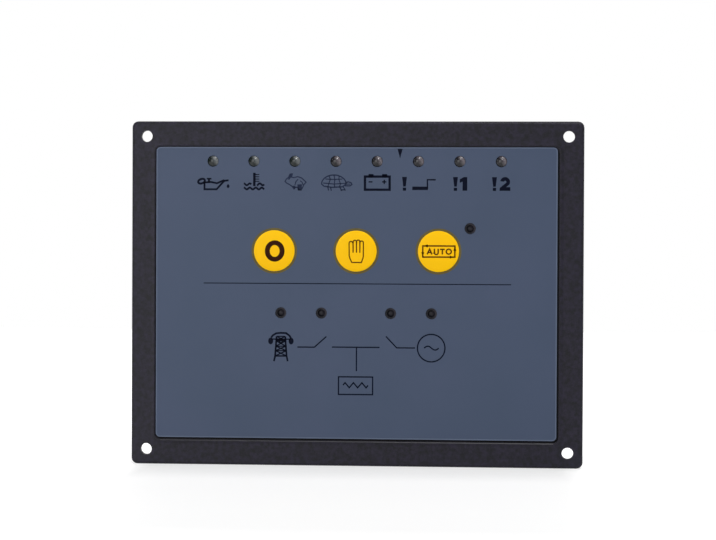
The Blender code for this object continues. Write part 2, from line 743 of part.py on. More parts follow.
def make_boards(shop, materials):
    """Display board with the lamps' lead holes, and terminal board with the header pins' holes."""
    display = board_block("display_board", shop, materials["board"], (DISPLAY_FRONT, DISPLAY_REAR))
    half = LEAD_WIDTH / 2 + GAP
    through = (DISPLAY_FRONT - OVERCUT, DISPLAY_REAR + OVERCUT)
    bm = bmesh.new()
    for _, x, z, _ in lamp_places():
        for side in (-1, 1):
            at = x + side * LEAD_SPACING / 2
            add_block(bm, (at - half, at + half), through, (z - half, z + half))
    for x, z in COLUMNS:
        add_rod(bm, x, z, through, STUD_RADIUS + GAP, segments=STUD_SEGMENTS)
    shop.cut(display, shop.helper("display_board_holes", bm))

    terminal = board_block("terminal_board", shop, materials["board"], (TERMINAL_FRONT, TERMINAL_REAR))
    half = PIN_WIDTH / 2 + GAP
    through = (TERMINAL_FRONT - OVERCUT, TERMINAL_REAR + OVERCUT)
    bm = bmesh.new()
    for header in plug_headers():
        for x, z in header_pins(header):
            add_block(bm, (x - half, x + half), through, (z - half, z + half))
    for x, z in COLUMNS:
        add_rod(bm, x, z, through, STUD_RADIUS + GAP, segments=STUD_SEGMENTS)
    shop.cut(terminal, shop.helper("terminal_board_holes", bm))


def make_headers(shop, materials):
    """Shrouded pin headers that reach through the rear cover. Their pins pass through the board."""
    floor = TERMINAL_REAR + GAP + HEADER_FLOOR
    rim = COVER_REAR + HEADER_PROUD
    outer, inner = HEADER_WIDTH / 2, HEADER_WIDTH / 2 - HEADER_WALL
    for header in plug_headers():
        z = header.z
        bm = bmesh.new()
        add_block(bm, (header.left, header.right), (TERMINAL_REAR + GAP, rim), (z - outer, z + outer))
        shroud = shop.piece(header.name, bm, materials["header"])
        bm = bmesh.new()
        ends = (header.left + HEADER_WALL, header.right - HEADER_WALL)
        add_block(bm, ends, (floor, rim + OVERCUT), (z - inner, z + inner))
        shop.cut(shroud, shop.helper(f"{header.name}_cavity", bm))
        # Coding grooves in the far wall, one at each pin
        bm = bmesh.new()
        groove = sorted(z + header.far_side * (inner + side * HEADER_KEY_DEPTH) for side in (-1, 1))
        for x, _ in header_pins(header):
            add_block(bm, (x - PIN_WIDTH, x + PIN_WIDTH), (floor, rim + OVERCUT), groove)
        shop.cut(shroud, shop.helper(f"{header.name}_coding", bm))
        bm = bmesh.new()
        half = PIN_WIDTH / 2
        for x, pin_z in header_pins(header):
            reach = (TERMINAL_FRONT - PIN_TAIL, rim - PIN_RECESS)
            add_block(bm, (x - half, x + half), reach, (pin_z - half, pin_z + half))
        shop.join(shroud, shop.helper(f"{header.name}_pins", bm, materials["steel"]))


def socket_spans():
    """Outline of the data socket, which stands at mid height in line with the ends of the headers."""
    return (HEADER_EDGE_X - SOCKET_WIDTH, HEADER_EDGE_X), (-SOCKET_HEIGHT / 2, SOCKET_HEIGHT / 2)


def make_data_socket(shop, materials):
    """Socket for a service lead. Its port has a step for the plug's latch."""
    (left, right), (low, high) = socket_spans()
    rim = COVER_REAR + HEADER_PROUD
    bm = bmesh.new()
    depth = (TERMINAL_REAR + GAP, rim)
    add_block(bm, (left, right), depth, (low, high), radius=SOCKET_CORNER_RADIUS, segments=1)
    socket = shop.piece("data_socket", bm, materials["socket"])
    port_left = (left + right - SOCKET_PORT_WIDTH) / 2
    latch_left = (left + right - SOCKET_LATCH_WIDTH) / 2
    port_top = (low + high + SOCKET_PORT_HEIGHT + SOCKET_LATCH_HEIGHT) / 2
    port_low = port_top - SOCKET_PORT_HEIGHT
    depth = (rim - SOCKET_PORT_DEPTH, rim + OVERCUT)
    bm = bmesh.new()
    add_block(bm, (port_left, port_left + SOCKET_PORT_WIDTH), depth, (port_low, port_top))
    shop.cut(socket, shop.helper("data_socket_port", bm))
    bm = bmesh.new()
    latch = (port_low - SOCKET_LATCH_HEIGHT, port_low + GAP)
    add_block(bm, (latch_left, latch_left + SOCKET_LATCH_WIDTH), depth, latch)
    shop.cut(socket, shop.helper("data_socket_latch", bm))


def make_cover(shop, materials):
    """Rear shell: a tongue that laps inside the spigot, vents, screw seats and connector openings."""
    bm = bmesh.new()
    add_block(
        bm,
        (-HOUSING_HALF_X, HOUSING_HALF_X),
        (COVER_FRONT, COVER_REAR),
        (-HOUSING_HALF_Z, HOUSING_HALF_Z),
        radius=HOUSING_CORNER_RADIUS,
        rear_edge=COVER_EDGE_RADIUS,
    )
    cover = shop.piece("rear_cover", bm, materials["bezel"])
    bm = bmesh.new()
    add_block(
        bm,
        (-TONGUE_HALF_X, TONGUE_HALF_X),
        (COVER_FRONT - TONGUE_DEPTH + GAP, COVER_FRONT + TONGUE_DEPTH),
        (-TONGUE_HALF_Z, TONGUE_HALF_Z),
        radius=HOUSING_CORNER_RADIUS - HOUSING_WALL + TONGUE_WALL,
    )
    shop.join(cover, shop.helper("cover_tongue", bm))
    bm = bmesh.new()
    add_block(
        bm,
        (-INSIDE_HALF_X, INSIDE_HALF_X),
        (COVER_FRONT - TONGUE_DEPTH - OVERCUT, COVER_INSIDE),
        (-INSIDE_HALF_Z, INSIDE_HALF_Z),
        radius=HOUSING_CORNER_RADIUS - HOUSING_WALL,
    )
    shop.cut(cover, shop.helper("cover_inside", bm))
    bm = bmesh.new()
    for x, z in COLUMNS:
        boss = (COVER_INSIDE - COVER_BOSS_HEIGHT, COVER_INSIDE + JOIN_LAP)
        add_rod(bm, x, z, boss, COVER_BOSS_RADIUS)
    shop.join(cover, shop.helper("cover_bosses", bm))
    shop.cut(cover, cover_screw_seats(shop))
    shop.cut(cover, cover_openings(shop))
    return cover


def cover_screw_seats(shop):
    bm = bmesh.new()
    for x, z in COLUMNS:
        add_rod(bm, x, z, (COVER_REAR - SCREW_SINK, COVER_REAR + OVERCUT), SCREW_HEAD_RADIUS + GAP)
    seats = shop.helper("screw_seats", bm)
    bm = bmesh.new()
    for x, z in COLUMNS:
        add_rod(bm, x, z, (COVER_INSIDE - COVER_BOSS_HEIGHT - OVERCUT, COVER_REAR), STUD_RADIUS + GAP)
    shop.join(seats, shop.helper("screw_holes", bm))
    return seats


def cover_openings(shop):
    """Openings round the headers and the data socket, and the vents in the top and bottom walls."""
    bm = bmesh.new()
    depth = (COVER_INSIDE - OVERCUT, COVER_REAR + OVERCUT)
    outer = HEADER_WIDTH / 2 + GAP
    for header in plug_headers():
        sides = (header.z - outer, header.z + outer)
        add_block(bm, (header.left - GAP, header.right + GAP), depth, sides)
    (left, right), (low, high) = socket_spans()
    add_block(bm, (left - GAP, right + GAP), depth, (low - GAP, high + GAP))
    run = INSIDE_HALF_X - VENT_SIDE_MARGIN
    count = max(2, int(2 * run / VENT_PITCH) + 1)
    slot = (COVER_FRONT + TONGUE_DEPTH + VENT_END_MARGIN, COVER_INSIDE - VENT_END_MARGIN)
    for side in (-1, 1):
        wall = sorted((side * (INSIDE_HALF_Z - GAP), side * (HOUSING_HALF_Z + OVERCUT)))
        for i in range(count):
            x = (i - (count - 1) / 2) * VENT_PITCH
            add_block(bm, (x - VENT_WIDTH / 2, x + VENT_WIDTH / 2), slot, wall)
    return shop.helper("cover_openings", bm)


def make_standoff(shop, material, name, x, z, front, rear, bore_depth):
    """Hexagonal column with a stud at its front and a bore in its rear."""
    bm = bmesh.new()
    add_rod(bm, x, z, (front, rear), STANDOFF_WIDTH / math.sqrt(3), segments=6)
    standoff = shop.piece(name, bm, material)
    bm = bmesh.new()
    add_rod(bm, x, z, (front - STUD_LENGTH, front + STUD_RADIUS), STUD_RADIUS, segments=STUD_SEGMENTS)
    shop.join(standoff, shop.helper(f"{name}_stud", bm))
    bm = bmesh.new()
    add_rod(bm, x, z, (rear - bore_depth, rear + OVERCUT), STUD_RADIUS + GAP, segments=STUD_SEGMENTS)
    shop.cut(standoff, shop.helper(f"{name}_bore", bm))


def make_columns(shop, materials):
    """Two standoffs and a cover screw on each of the four columns."""
    boss = COVER_INSIDE - COVER_BOSS_HEIGHT
    seat = COVER_REAR - SCREW_SINK
    for (x, z), corner in zip(COLUMNS, COLUMN_NAMES):
        front = (DISPLAY_REAR + GAP, TERMINAL_FRONT - GAP)
        rear = (TERMINAL_REAR + GAP, boss - GAP)
        brass = materials["brass"]
        make_standoff(shop, brass, f"front_standoff_{corner}", x, z, *front, STUD_BORE_DEPTH)
        make_standoff(shop, brass, f"rear_standoff_{corner}", x, z, *rear, SCREW_BORE_DEPTH)
        shank = seat + GAP - (rear[1] - SCREW_GRIP)
        screw = shop.turned(
            f"cover_screw_{corner}",
            [
                (0.0, shank),
                (STUD_RADIUS, shank),
                (STUD_RADIUS, 0.0),
                (SCREW_HEAD_RADIUS, 0.0),
                (SCREW_HEAD_RADIUS, SCREW_CROWN_HEIGHT - SCREW_HEAD_HEIGHT),
                (SCREW_CROWN_RADIUS, -SCREW_HEAD_HEIGHT),
                (0.0, -SCREW_HEAD_HEIGHT),
            ],
            materials["steel"],
            (x, seat + GAP, z),
            HOLE_SEGMENTS,
        )
        top = seat + GAP + SCREW_HEAD_HEIGHT
        half_width, half_length = DRIVER_SLOT_WIDTH / 2, DRIVER_SLOT_LENGTH / 2
        for axis, (half_x, half_z) in enumerate(((half_length, half_width), (half_width, half_length))):
            bm = bmesh.new()
            add_block(
                bm,
                (x - half_x, x + half_x),
                (top - DRIVER_SLOT_DEPTH, top + OVERCUT),
                (z - half_z, z + half_z),
            )
            shop.cut(screw, shop.helper(f"driver_slot_{corner}_{axis}", bm))


def make_relays(shop, materials):
    """Relays on the front of the terminal board: the load relays above the aisle, the others below."""
    rear = TERMINAL_FRONT - GAP
    rows = (
        (SMALL_RELAY_NAMES, SMALL_RELAY_WIDTH, SMALL_RELAY_LENGTH, -1),
        (LOAD_RELAY_NAMES, LOAD_RELAY_WIDTH, LOAD_RELAY_LENGTH, 1),
    )
    for names, width, length, side in rows:
        z = side * (RELAY_AISLE + length) / 2
        for i, name in enumerate(names):
            x = (i - (len(names) - 1) / 2) * (width + RELAY_SPACING)
            bm = bmesh.new()
            add_block(
                bm,
                (x - width / 2, x + width / 2),
                (rear - RELAY_HEIGHT, rear),
                (z - length / 2, z + length / 2),
                radius=RELAY_EDGE_RADIUS,
                segments=1,
            )
            shop.piece(name, bm, materials["relay"])


def make_link(shop, materials):
    """Pin strip on the terminal board, plugged into a socket strip on the display board."""
    middle = aisle_places()["link"]
    socket_rear = DISPLAY_REAR + GAP + LINK_SOCKET_HEIGHT
    across = (middle - LINK_WIDTH / 2, middle + LINK_WIDTH / 2)
    along = (-LINK_PINS * LINK_PITCH / 2, LINK_PINS * LINK_PITCH / 2)
    pins = [
        (middle + side * LINK_PITCH / 2, (i - (LINK_PINS - 1) / 2) * LINK_PITCH)
        for i in range(LINK_PINS)
        for side in (-1, 1)
    ]
    bm = bmesh.new()
    add_block(bm, across, (DISPLAY_REAR + GAP, socket_rear), along)
    socket = shop.piece("link_socket", bm, materials["socket"])
    bm = bmesh.new()
    half = LINK_PIN_WIDTH / 2 + GAP
    hole = (socket_rear - LINK_PIN_DEPTH - GAP, socket_rear + OVERCUT)
    for x, z in pins:
        add_block(bm, (x - half, x + half), hole, (z - half, z + half))
    shop.cut(socket, shop.helper("link_socket_holes", bm))
    bm = bmesh.new()
    add_block(bm, across, (socket_rear + GAP, TERMINAL_FRONT - GAP), along)
    strip = shop.piece("link_pin_strip", bm, materials["socket"])
    bm = bmesh.new()
    half = LINK_PIN_WIDTH / 2
    pin = (socket_rear - LINK_PIN_DEPTH, socket_rear + GAP + JOIN_LAP)
    for x, z in pins:
        add_block(bm, (x - half, x + half), pin, (z - half, z + half))
    shop.join(strip, shop.helper("link_pins", bm, materials["steel"]))


def make_chip(shop, materials):
    """Controller chip on the rear of the display board."""
    half = CHIP_WIDTH / 2
    z = CHIP_RISE - BOARD_HALF_Z
    depth = (DISPLAY_REAR + GAP, DISPLAY_REAR + GAP + CHIP_HEIGHT)
    bm = bmesh.new()
    add_block(
        bm,
        (-half, half),
        depth,
        (z - half, z + half),
        radius=CHIP_CORNER_RADIUS,
        segments=1,
    )
    shop.piece("controller_chip", bm, materials["chip"])


def make_supply_parts(shop, materials):
    """Capacitors, inductor and surge suppressor on the front of the terminal board."""
    places = aisle_places()
    foot = TERMINAL_FRONT - GAP
    groove, rise = CAPACITOR_GROOVE_DEPTH, CAPACITOR_GROOVE_RISE
    can = [
        (0.0, CAPACITOR_HEIGHT),
        (CAPACITOR_RADIUS - groove, CAPACITOR_HEIGHT),
        (CAPACITOR_RADIUS, CAPACITOR_HEIGHT - groove),
        (CAPACITOR_RADIUS, rise + groove),
        (CAPACITOR_RADIUS - groove, rise),
        (CAPACITOR_RADIUS, rise - groove),
        (CAPACITOR_RADIUS, 0.0),
        (0.0, 0.0),
    ]
    for name in ("input_capacitor", "output_capacitor"):
        shop.turned(name, can, materials["capacitor"], (places[name], foot, 0.0), COIL_SEGMENTS)
    drum = [
        (0.0, INDUCTOR_HEIGHT),
        (INDUCTOR_RADIUS, INDUCTOR_HEIGHT),
        (INDUCTOR_RADIUS, INDUCTOR_HEIGHT - INDUCTOR_FLANGE),
        (INDUCTOR_WAIST, INDUCTOR_HEIGHT - INDUCTOR_FLANGE),
        (INDUCTOR_WAIST, INDUCTOR_FLANGE),
        (INDUCTOR_RADIUS, INDUCTOR_FLANGE),
        (INDUCTOR_RADIUS, 0.0),
        (0.0, 0.0),
    ]
    name = "supply_inductor"
    shop.turned(name, drum, materials["ferrite"], (places[name], foot, 0.0), COIL_SEGMENTS)
    name = "surge_suppressor"
    bm = bmesh.new()
    bmesh.ops.create_cone(
        bm,
        cap_ends=True,
        segments=COIL_SEGMENTS,
        radius1=SUPPRESSOR_RADIUS,
        radius2=SUPPRESSOR_RADIUS,
        depth=SUPPRESSOR_THICKNESS,
        matrix=Matrix.Translation((places[name], foot - SUPPRESSOR_RADIUS, 0.0)),
    )
    shop.piece(name, bm, materials["suppressor"])


def main():
    clear_scene()
    shop = Workshop()
    materials = make_materials()
    make_bezel(shop, materials)
    make_film(shop, materials)
    make_lamps(shop, materials)
    make_switches(shop, materials)
    make_boards(shop, materials)
    make_headers(shop, materials)
    make_data_socket(shop, materials)
    make_cover(shop, materials)
    make_columns(shop, materials)
    make_relays(shop, materials)
    make_link(shop, materials)
    make_chip(shop, materials)
    make_supply_parts(shop, materials)


main()
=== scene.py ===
import json
import math

import bmesh
import bpy
from mathutils import Euler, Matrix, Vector

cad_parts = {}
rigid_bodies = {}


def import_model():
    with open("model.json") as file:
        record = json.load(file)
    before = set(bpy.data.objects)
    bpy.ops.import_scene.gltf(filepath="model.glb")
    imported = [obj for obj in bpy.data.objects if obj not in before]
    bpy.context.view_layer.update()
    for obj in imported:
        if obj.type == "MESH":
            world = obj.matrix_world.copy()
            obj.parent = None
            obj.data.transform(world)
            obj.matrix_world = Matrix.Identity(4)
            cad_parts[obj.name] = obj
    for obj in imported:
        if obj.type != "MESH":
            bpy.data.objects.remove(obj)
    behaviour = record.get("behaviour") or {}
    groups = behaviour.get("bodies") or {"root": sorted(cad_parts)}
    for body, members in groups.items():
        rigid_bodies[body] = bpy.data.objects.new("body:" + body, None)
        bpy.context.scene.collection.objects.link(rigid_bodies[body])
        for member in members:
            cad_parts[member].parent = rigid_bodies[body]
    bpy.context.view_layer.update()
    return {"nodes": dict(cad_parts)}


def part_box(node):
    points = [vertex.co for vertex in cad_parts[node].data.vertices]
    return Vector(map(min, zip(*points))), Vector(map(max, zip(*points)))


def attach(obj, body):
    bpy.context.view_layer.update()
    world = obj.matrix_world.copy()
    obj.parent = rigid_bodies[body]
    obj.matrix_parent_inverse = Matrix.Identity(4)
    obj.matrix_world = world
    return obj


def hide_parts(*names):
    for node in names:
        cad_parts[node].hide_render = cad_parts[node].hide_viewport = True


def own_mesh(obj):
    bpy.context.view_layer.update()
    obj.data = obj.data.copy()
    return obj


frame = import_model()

mm = 0.001

# Places on the face, in mm. X runs right, Z up, and the face looks along -Y.
face = {
    "front": -5.0,
    "recessHalfX": 80.5,
    "recessHalfZ": 58.6,
    "filmFront": -4.7,
    "filmRear": -4.3,
    "filmHalfX": 79.9,
    "filmHalfZ": 58.0,
    "filmCorner": 1.7,
    "keyRow": 17.0,
    "keyPitch": 32.7,
    "keyRadius": 8.4,
    "keyRise": 0.25,
    "warningRow": 52.6,
    "warningFirst": -57.4,
    "warningStep": 16.4,
    "supplyRow": -7.7,
    "supplyPlaces": (-30.0, -13.8, 13.8, 30.0),
    "autoLamp": (45.2, 26.1),
    "lampRadius": 2.5,
    "proudTip": -5.2,  # y of the warning lamps' tips
    "setBackTip": -3.8,  # y of the other lamps' tips
    "floor": -68.5,
}


def report(stage):
    print(f"scene: {stage}")


# Colour and materials. Grain, relief and patches are in mm.

def rgb(code):
    # Linear colour of a hex sRGB code, with alpha
    parts = [int(code[i:i + 2], 16) / 255 for i in (1, 3, 5)]
    return (*[p / 12.92 if p <= 0.04045 else ((p + 0.055) / 1.055) ** 2.4 for p in parts], 1.0)


def addNode(tree, kind, inputs=None, **settings):
    item = tree.nodes.new(f"ShaderNode{kind}")
    for name, value in settings.items():
        setattr(item, name, value)
    for name, value in (inputs or {}).items():
        if isinstance(value, bpy.types.NodeSocket):
            tree.links.new(value, item.inputs[name])
        else:
            item.inputs[name].default_value = value
    return item


def newMaterial(name, **values):
    # Material with its shader's own values set, such as Roughness or Metallic
    material = bpy.data.materials.new(name)
    material.use_nodes = True
    shader = material.node_tree.nodes["Principled BSDF"]
    for key, value in values.items():
        shader.inputs[key.replace("_", " ")].default_value = value
    return material, material.node_tree, shader


def mottled(tree, coords, dark, light, patch):
    # Colour that wanders between two in soft patches
    noise = addNode(tree, "TexNoise", {
        "Vector": coords, "Scale": 1 / (patch * mm), "Detail": 4.0, "Roughness": 0.6})
    ramp = addNode(tree, "ValToRGB", {"Fac": noise.outputs["Fac"]})
    for element, position, shade in zip(ramp.color_ramp.elements, (0.35, 0.65), (dark, light)):
        element.position, element.color = position, rgb(shade)
    return ramp.outputs["Color"]


def grained(tree, shader, height, relief, strength, roughness):
    # Fine relief, and roughness that follows it between two values
    bump = addNode(tree, "Bump", {"Height": height, "Distance": relief * mm, "Strength": strength})
    tree.links.new(bump.outputs["Normal"], shader.inputs["Normal"])
    band = addNode(tree, "MapRange", {
        "Value": height, "From Min": 0.3, "From Max": 0.7, "To Min": roughness[0], "To Max": roughness[1]})
    tree.links.new(band.outputs["Result"], shader.inputs["Roughness"])


def plastic(name, dark, light, roughness, grain, relief, patch, strength=0.5, sheen=0.5):
    # Moulded, coated or printed surface: two close shades in soft patches under a fine grain
    material, tree, shader = newMaterial(name, Specular_IOR_Level=sheen)
    coords = addNode(tree, "TexCoord").outputs["Object"]
    tree.links.new(mottled(tree, coords, dark, light, patch), shader.inputs["Base Color"])
    noise = addNode(tree, "TexNoise", {"Vector": coords, "Scale": 1 / (grain * mm), "Detail": 3.0})
    grained(tree, shader, noise.outputs["Fac"], relief, strength, roughness)
    return material


finish = {}

# Spark-eroded black ABS: a dry, slightly sparkling grain that keeps the flange from looking painted,
# with a mottle of 1 to 2 mm where it has been rubbed.
# The real grain is about 0.15 mm and is drawn at 0.5 mm, the finest that the picture carries.
# The other fine grains below are drawn coarser for the same reason.
finish["bezel"] = plastic(
    "abs_black_spark_grain", "#000009", "#1a1628", (0.46, 0.58), grain=0.5, relief=0.06, patch=1.429,
    sheen=0.295)

# Painted highlight: a glossier, lighter copy of the bezel plastic, put on the side of the bead below the film
# that faces the light.
finish["bezelRubbed"] = plastic(
    "abs_black_painted_highlight", "#0c0a18", "#14121f", (0.34, 0.40), grain=0.5, relief=0.02, patch=1.429,
    sheen=0.8)

# Velvet polyester film printed from behind: an even slate ground with a very soft sheen.
finish["film"] = plastic(
    "polyester_film_velvet_slate", "#414d63", "#444f66", (0.42, 0.50), grain=0.3846, relief=0.02,
    patch=40.0, sheen=0.22)

# The same film over yellow ink, strong in colour because the ink is opaque and bright.
finish["keyYellow"] = plastic(
    "polyester_film_velvet_yellow", "#fbc100", "#fec600", (0.42, 0.50), grain=0.3846, relief=0.02,
    patch=25.0, sheen=0.12)

# Painted highlight: a pale line round the border of the film, where its cut edge catches the light.
finish["filmEdge"] = plastic(
    "polyester_painted_edge_highlight", "#545f75", "#5b667c", (0.42, 0.50), grain=0.3846, relief=0.02, patch=12.5,
    sheen=0.25)

# Painted shade: a near-black stand-in for the film's adhesive, laid where the groove is in shade.
finish["adhesive"] = plastic(
    "acrylic_adhesive_black", "#000003", "#020208", (0.50, 0.60), grain=0.6667, relief=0.02, patch=5.0,
    sheen=0.12)

# Screen inks, dense and nearly without sheen. The olive one is painted shade, drawn round the foot of each
# key.
inkLook = {"roughness": (0.40, 0.48), "grain": 0.3333, "relief": 0.01, "patch": 5.0, "sheen": 0.06}
finish["ink"] = plastic("screen_ink_navy_black", "#03081a", "#050b1f", **inkLook)
finish["inkFaint"] = plastic("screen_ink_navy_thin", "#1f273d", "#252d44", **inkLook)
finish["inkBlack"] = plastic("screen_ink_brown_black", "#2c1000", "#321402", **inkLook)
finish["inkBrown"] = plastic("screen_ink_brown", "#563002", "#603706", **inkLook)
finish["inkOlive"] = plastic("olive_painted_shade", "#5f5530", "#675d37", **inkLook)

# Pad-printed white on the rear cover: thin, so that the black dulls it.
finish["inkWhite"] = plastic(
    "pad_ink_white_thin", "#b9bab6", "#c6c7c3", (0.50, 0.60), grain=0.3333, relief=0.01, patch=3.333,
    sheen=0.2)

# Black glass-filled polyamide of the sockets: duller than the bezel, with faint flow patches.
finish["socket"] = plastic(
    "polyamide_black_matt", "#19191b", "#212124", (0.50, 0.62), grain=0.6667, relief=0.05, patch=8.333)

# Green polyamide of the plug headers: waxy, a little uneven where the glass fibres lie near the skin.
finish["header"] = plastic(
    "polyamide_green_satin", "#1f6b3f", "#277749", (0.36, 0.46), grain=0.5556, relief=0.04, patch=7.143)

# Blue relay case: smooth polyester with a satin skin.
finish["relay"] = plastic(
    "polyester_blue_satin", "#163561", "#1b3d6c", (0.30, 0.38), grain=0.625, relief=0.03, patch=11.11)

# Printed capacitor sleeve: shrunk film, shiny and tight.
finish["capacitor"] = plastic(
    "shrink_sleeve_navy_gloss", "#14162e", "#1a1c38", (0.22, 0.30), grain=1.111, relief=0.04, patch=6.25)

# Sintered ferrite: dense, dark grey and slightly rough like fired clay.
finish["ferrite"] = plastic(
    "ferrite_sintered_matt", "#3a3836", "#4a4744", (0.55, 0.70), grain=0.7143, relief=0.08, patch=3.333,
    strength=0.8)

# Dipped epoxy on the surge suppressor: orange-peel skin.
finish["suppressor"] = plastic(
    "epoxy_blue_dipped", "#1f4a86", "#2a5896", (0.30, 0.42), grain=1.429, relief=0.10, patch=10.0,
    strength=0.8)

# Moulded chip package: fine matt epoxy.
finish["chip"] = plastic(
    "epoxy_black_fine_matt", "#1c1c1d", "#242426", (0.55, 0.66), grain=0.4545, relief=0.03, patch=5.0)

# Switch parts: black housing and a pale grey plunger.
finish["switch"] = plastic(
    "polyamide_black_satin", "#18181a", "#1f1f21", (0.40, 0.50), grain=0.5, relief=0.04, patch=6.667)
finish["plunger"] = plastic(
    "acetal_grey_satin", "#8d8b85", "#989690", (0.34, 0.42), grain=0.5556, relief=0.03, patch=6.667)


marks = {"spacing": 1.111, "relief": 0.02, "strength": 0.4}


def metal(name, dark, light, roughness, streak, patch):
    # Plated metal: marks drawn out along one way, and faint stains
    material, tree, shader = newMaterial(name, Metallic=1.0)
    coords = addNode(tree, "TexCoord").outputs["Object"]
    tree.links.new(mottled(tree, coords, dark, light, patch), shader.inputs["Base Color"])
    stretched = addNode(tree, "Mapping", {"Vector": coords, "Scale": streak}).outputs["Vector"]
    lines = addNode(tree, "TexNoise", {
        "Vector": stretched, "Scale": 1 / (marks["spacing"] * mm), "Detail": 2.0})
    grained(tree, shader, lines.outputs["Fac"], marks["relief"], marks["strength"], roughness)
    return material


# Bright zinc on the screws and pins: cool, with turning marks that run round the head.
finish["steel"] = metal(
    "steel_zinc_plated_bright", "#a9abb0", "#bfc1c5", (0.24, 0.36), streak=(1.0, 0.2, 1.0), patch=3.333)

# Nickel on turned brass: warmer, and a little duller in patches.
finish["brass"] = metal(
    "brass_nickel_plated_turned", "#b3ac9a", "#c6c0af", (0.26, 0.38), streak=(1.0, 0.15, 1.0),
    patch=3.846)

# Gold flash on spring contacts: yellow, with marks that run along each wire.
finish["gold"] = metal(
    "bronze_gold_flashed", "#c79a45", "#d8ac56", (0.20, 0.32), streak=(0.3, 1.0, 1.0), patch=5.0)


# The cell and the relief are in mm, the rest in shares of the cell, so that a track is 0.33 mm wide
boardTracks = {"cell": 8.333, "track": 0.04, "edge": 0.2, "length": 0.9, "row": 0.22, "relief": 0.04}


def boardMaterial():
    # Solder mask over copper: the tracks show as slightly raised, lighter green bands
    material, tree, shader = newMaterial("glass_epoxy_green_mask", Coat_Weight=0.35, Coat_Roughness=0.2)
    coords = addNode(tree, "TexCoord").outputs["Object"]
    upright = addNode(tree, "Mapping", {"Vector": coords, "Rotation": (math.radians(90), 0, 0)})
    tracks = addNode(tree, "TexBrick", {
        "Vector": upright.outputs["Vector"], "Scale": 1 / (boardTracks["cell"] * mm),
        "Mortar Size": boardTracks["track"], "Mortar Smooth": boardTracks["edge"], "Bias": 0.0,
        "Brick Width": boardTracks["length"], "Row Height": boardTracks["row"],
        "Color1": rgb("#14512b"), "Color2": rgb("#17582f"), "Mortar": rgb("#227a44"),
    })
    tree.links.new(tracks.outputs["Color"], shader.inputs["Base Color"])
    grained(tree, shader, tracks.outputs["Fac"], boardTracks["relief"], 0.5, (0.38, 0.30))
    return material


finish["board"] = boardMaterial()

# Painted shading and highlight of the lens domes: how the colour goes from dark at the lower left to pale at
# the upper right, in shares of its box
lensShade = {
    "way": (0.85, 0.0, 0.5),
    "ends": (0.63, 0.90),
    "cloud": 3.846,  # mm
    "waver": 0.05,
}


def lensMaterial(name, dark, pale, depth, roughness, sheen):
    # Cast epoxy with painted shading: dark at the lower left and pale at the upper right, like a dome lit
    # from the upper right
    material, tree, shader = newMaterial(
        name, IOR=1.54, Transmission_Weight=depth, Roughness=roughness, Specular_IOR_Level=sheen)
    places = addNode(tree, "TexCoord").outputs
    across = addNode(tree, "VectorMath", {
        0: places["Generated"], 1: lensShade["way"]}, operation="DOT_PRODUCT")
    cloud = addNode(tree, "TexNoise", {
        "Vector": places["Object"], "Scale": 1 / (lensShade["cloud"] * mm), "Detail": 2.0})
    waver = addNode(tree, "MapRange", {
        "Value": cloud.outputs["Fac"], "To Min": -lensShade["waver"], "To Max": lensShade["waver"]})
    across = addNode(tree, "Math", {0: across.outputs["Value"], 1: waver.outputs["Result"]}, operation="ADD")
    ramp = addNode(tree, "ValToRGB", {"Fac": across.outputs[0]})
    for element, position, shade in zip(ramp.color_ramp.elements, lensShade["ends"], (dark, pale)):
        element.position, element.color = position, rgb(shade)
    tree.links.new(ramp.outputs["Color"], shader.inputs["Base Color"])
    return material


# Epoxy with a green or a smoky cast, as unlit lamps of two colours have, under the painted shading.
clearLook = {"depth": 0.08, "roughness": 0.20, "sheen": 0.34}
finish["lensGreen"] = lensMaterial("epoxy_lens_green_painted_shading", "#0e1917", "#6d7173", **clearLook)
finish["lensSmoke"] = lensMaterial("epoxy_lens_smoke_painted_shading", "#14141a", "#6b656b", **clearLook)

# Deeply tinted epoxy of the lamps that sit back, nearly black when unlit, with the same painted shading.
finish["lensDark"] = lensMaterial(
    "epoxy_lens_dark_painted_shading", "#15151c", "#2e2b32", depth=0.05, roughness=0.44, sheen=0.15)

# What each CAD node is made of, by its name or by how its name ends
nodeFinish = {
    "front_bezel": "bezel", "rear_cover": "bezel",
    "display_board": "board", "terminal_board": "board",
    "sensing_header": "header", "load_header": "header", "control_header": "header",
    "data_socket": "socket", "link_socket": "socket", "link_pin_strip": "socket",
    "controller_chip": "chip", "input_capacitor": "capacitor", "output_capacitor": "capacitor",
    "supply_inductor": "ferrite", "surge_suppressor": "suppressor",
}
nodeEnds = {
    "_relay": "relay", "_switch": "switch", "_plunger": "plunger", "_lamp": "lensDark",
}
for name in frame["nodes"]:
    kind = nodeFinish.get(name)
    kind = kind or next((value for end, value in nodeEnds.items() if name.endswith(end)), None)
    kind = kind or ("brass" if "standoff" in name else "steel")
    for place in bpy.data.objects[name].material_slots:
        place.material = finish[kind]
report("materials on the CAD nodes")


# Mesh helpers. Outlines are lists of (x, z) in mm, depths are y in mm.

def meshPiece(name, bm, materials, body="housing", smooth=30):
    bmesh.ops.remove_doubles(bm, verts=bm.verts, dist=1e-7)
    bmesh.ops.recalc_face_normals(bm, faces=bm.faces)
    mesh = bpy.data.meshes.new(name)
    bm.to_mesh(mesh)
    bm.free()
    for material in materials:
        mesh.materials.append(material)
    mesh.shade_smooth()
    mesh.set_sharp_from_angle(angle=math.radians(smooth))
    piece = bpy.data.objects.new(name, mesh)
    bpy.context.scene.collection.objects.link(piece)
    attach(piece, body)
    return piece


def prism(bm, outline, front, rear):
    # Closed solid over an outline, from a front plane to a rear plane
    rings = []
    for y in (front, rear):
        rings.append([bm.verts.new((x * mm, y * mm, z * mm)) for x, z in outline])
    bm.faces.new(rings[0])
    bm.faces.new(list(reversed(rings[1])))
    count = len(outline)
    for i in range(count):
        j = (i + 1) % count
        bm.faces.new((rings[0][i], rings[1][i], rings[1][j], rings[0][j]))


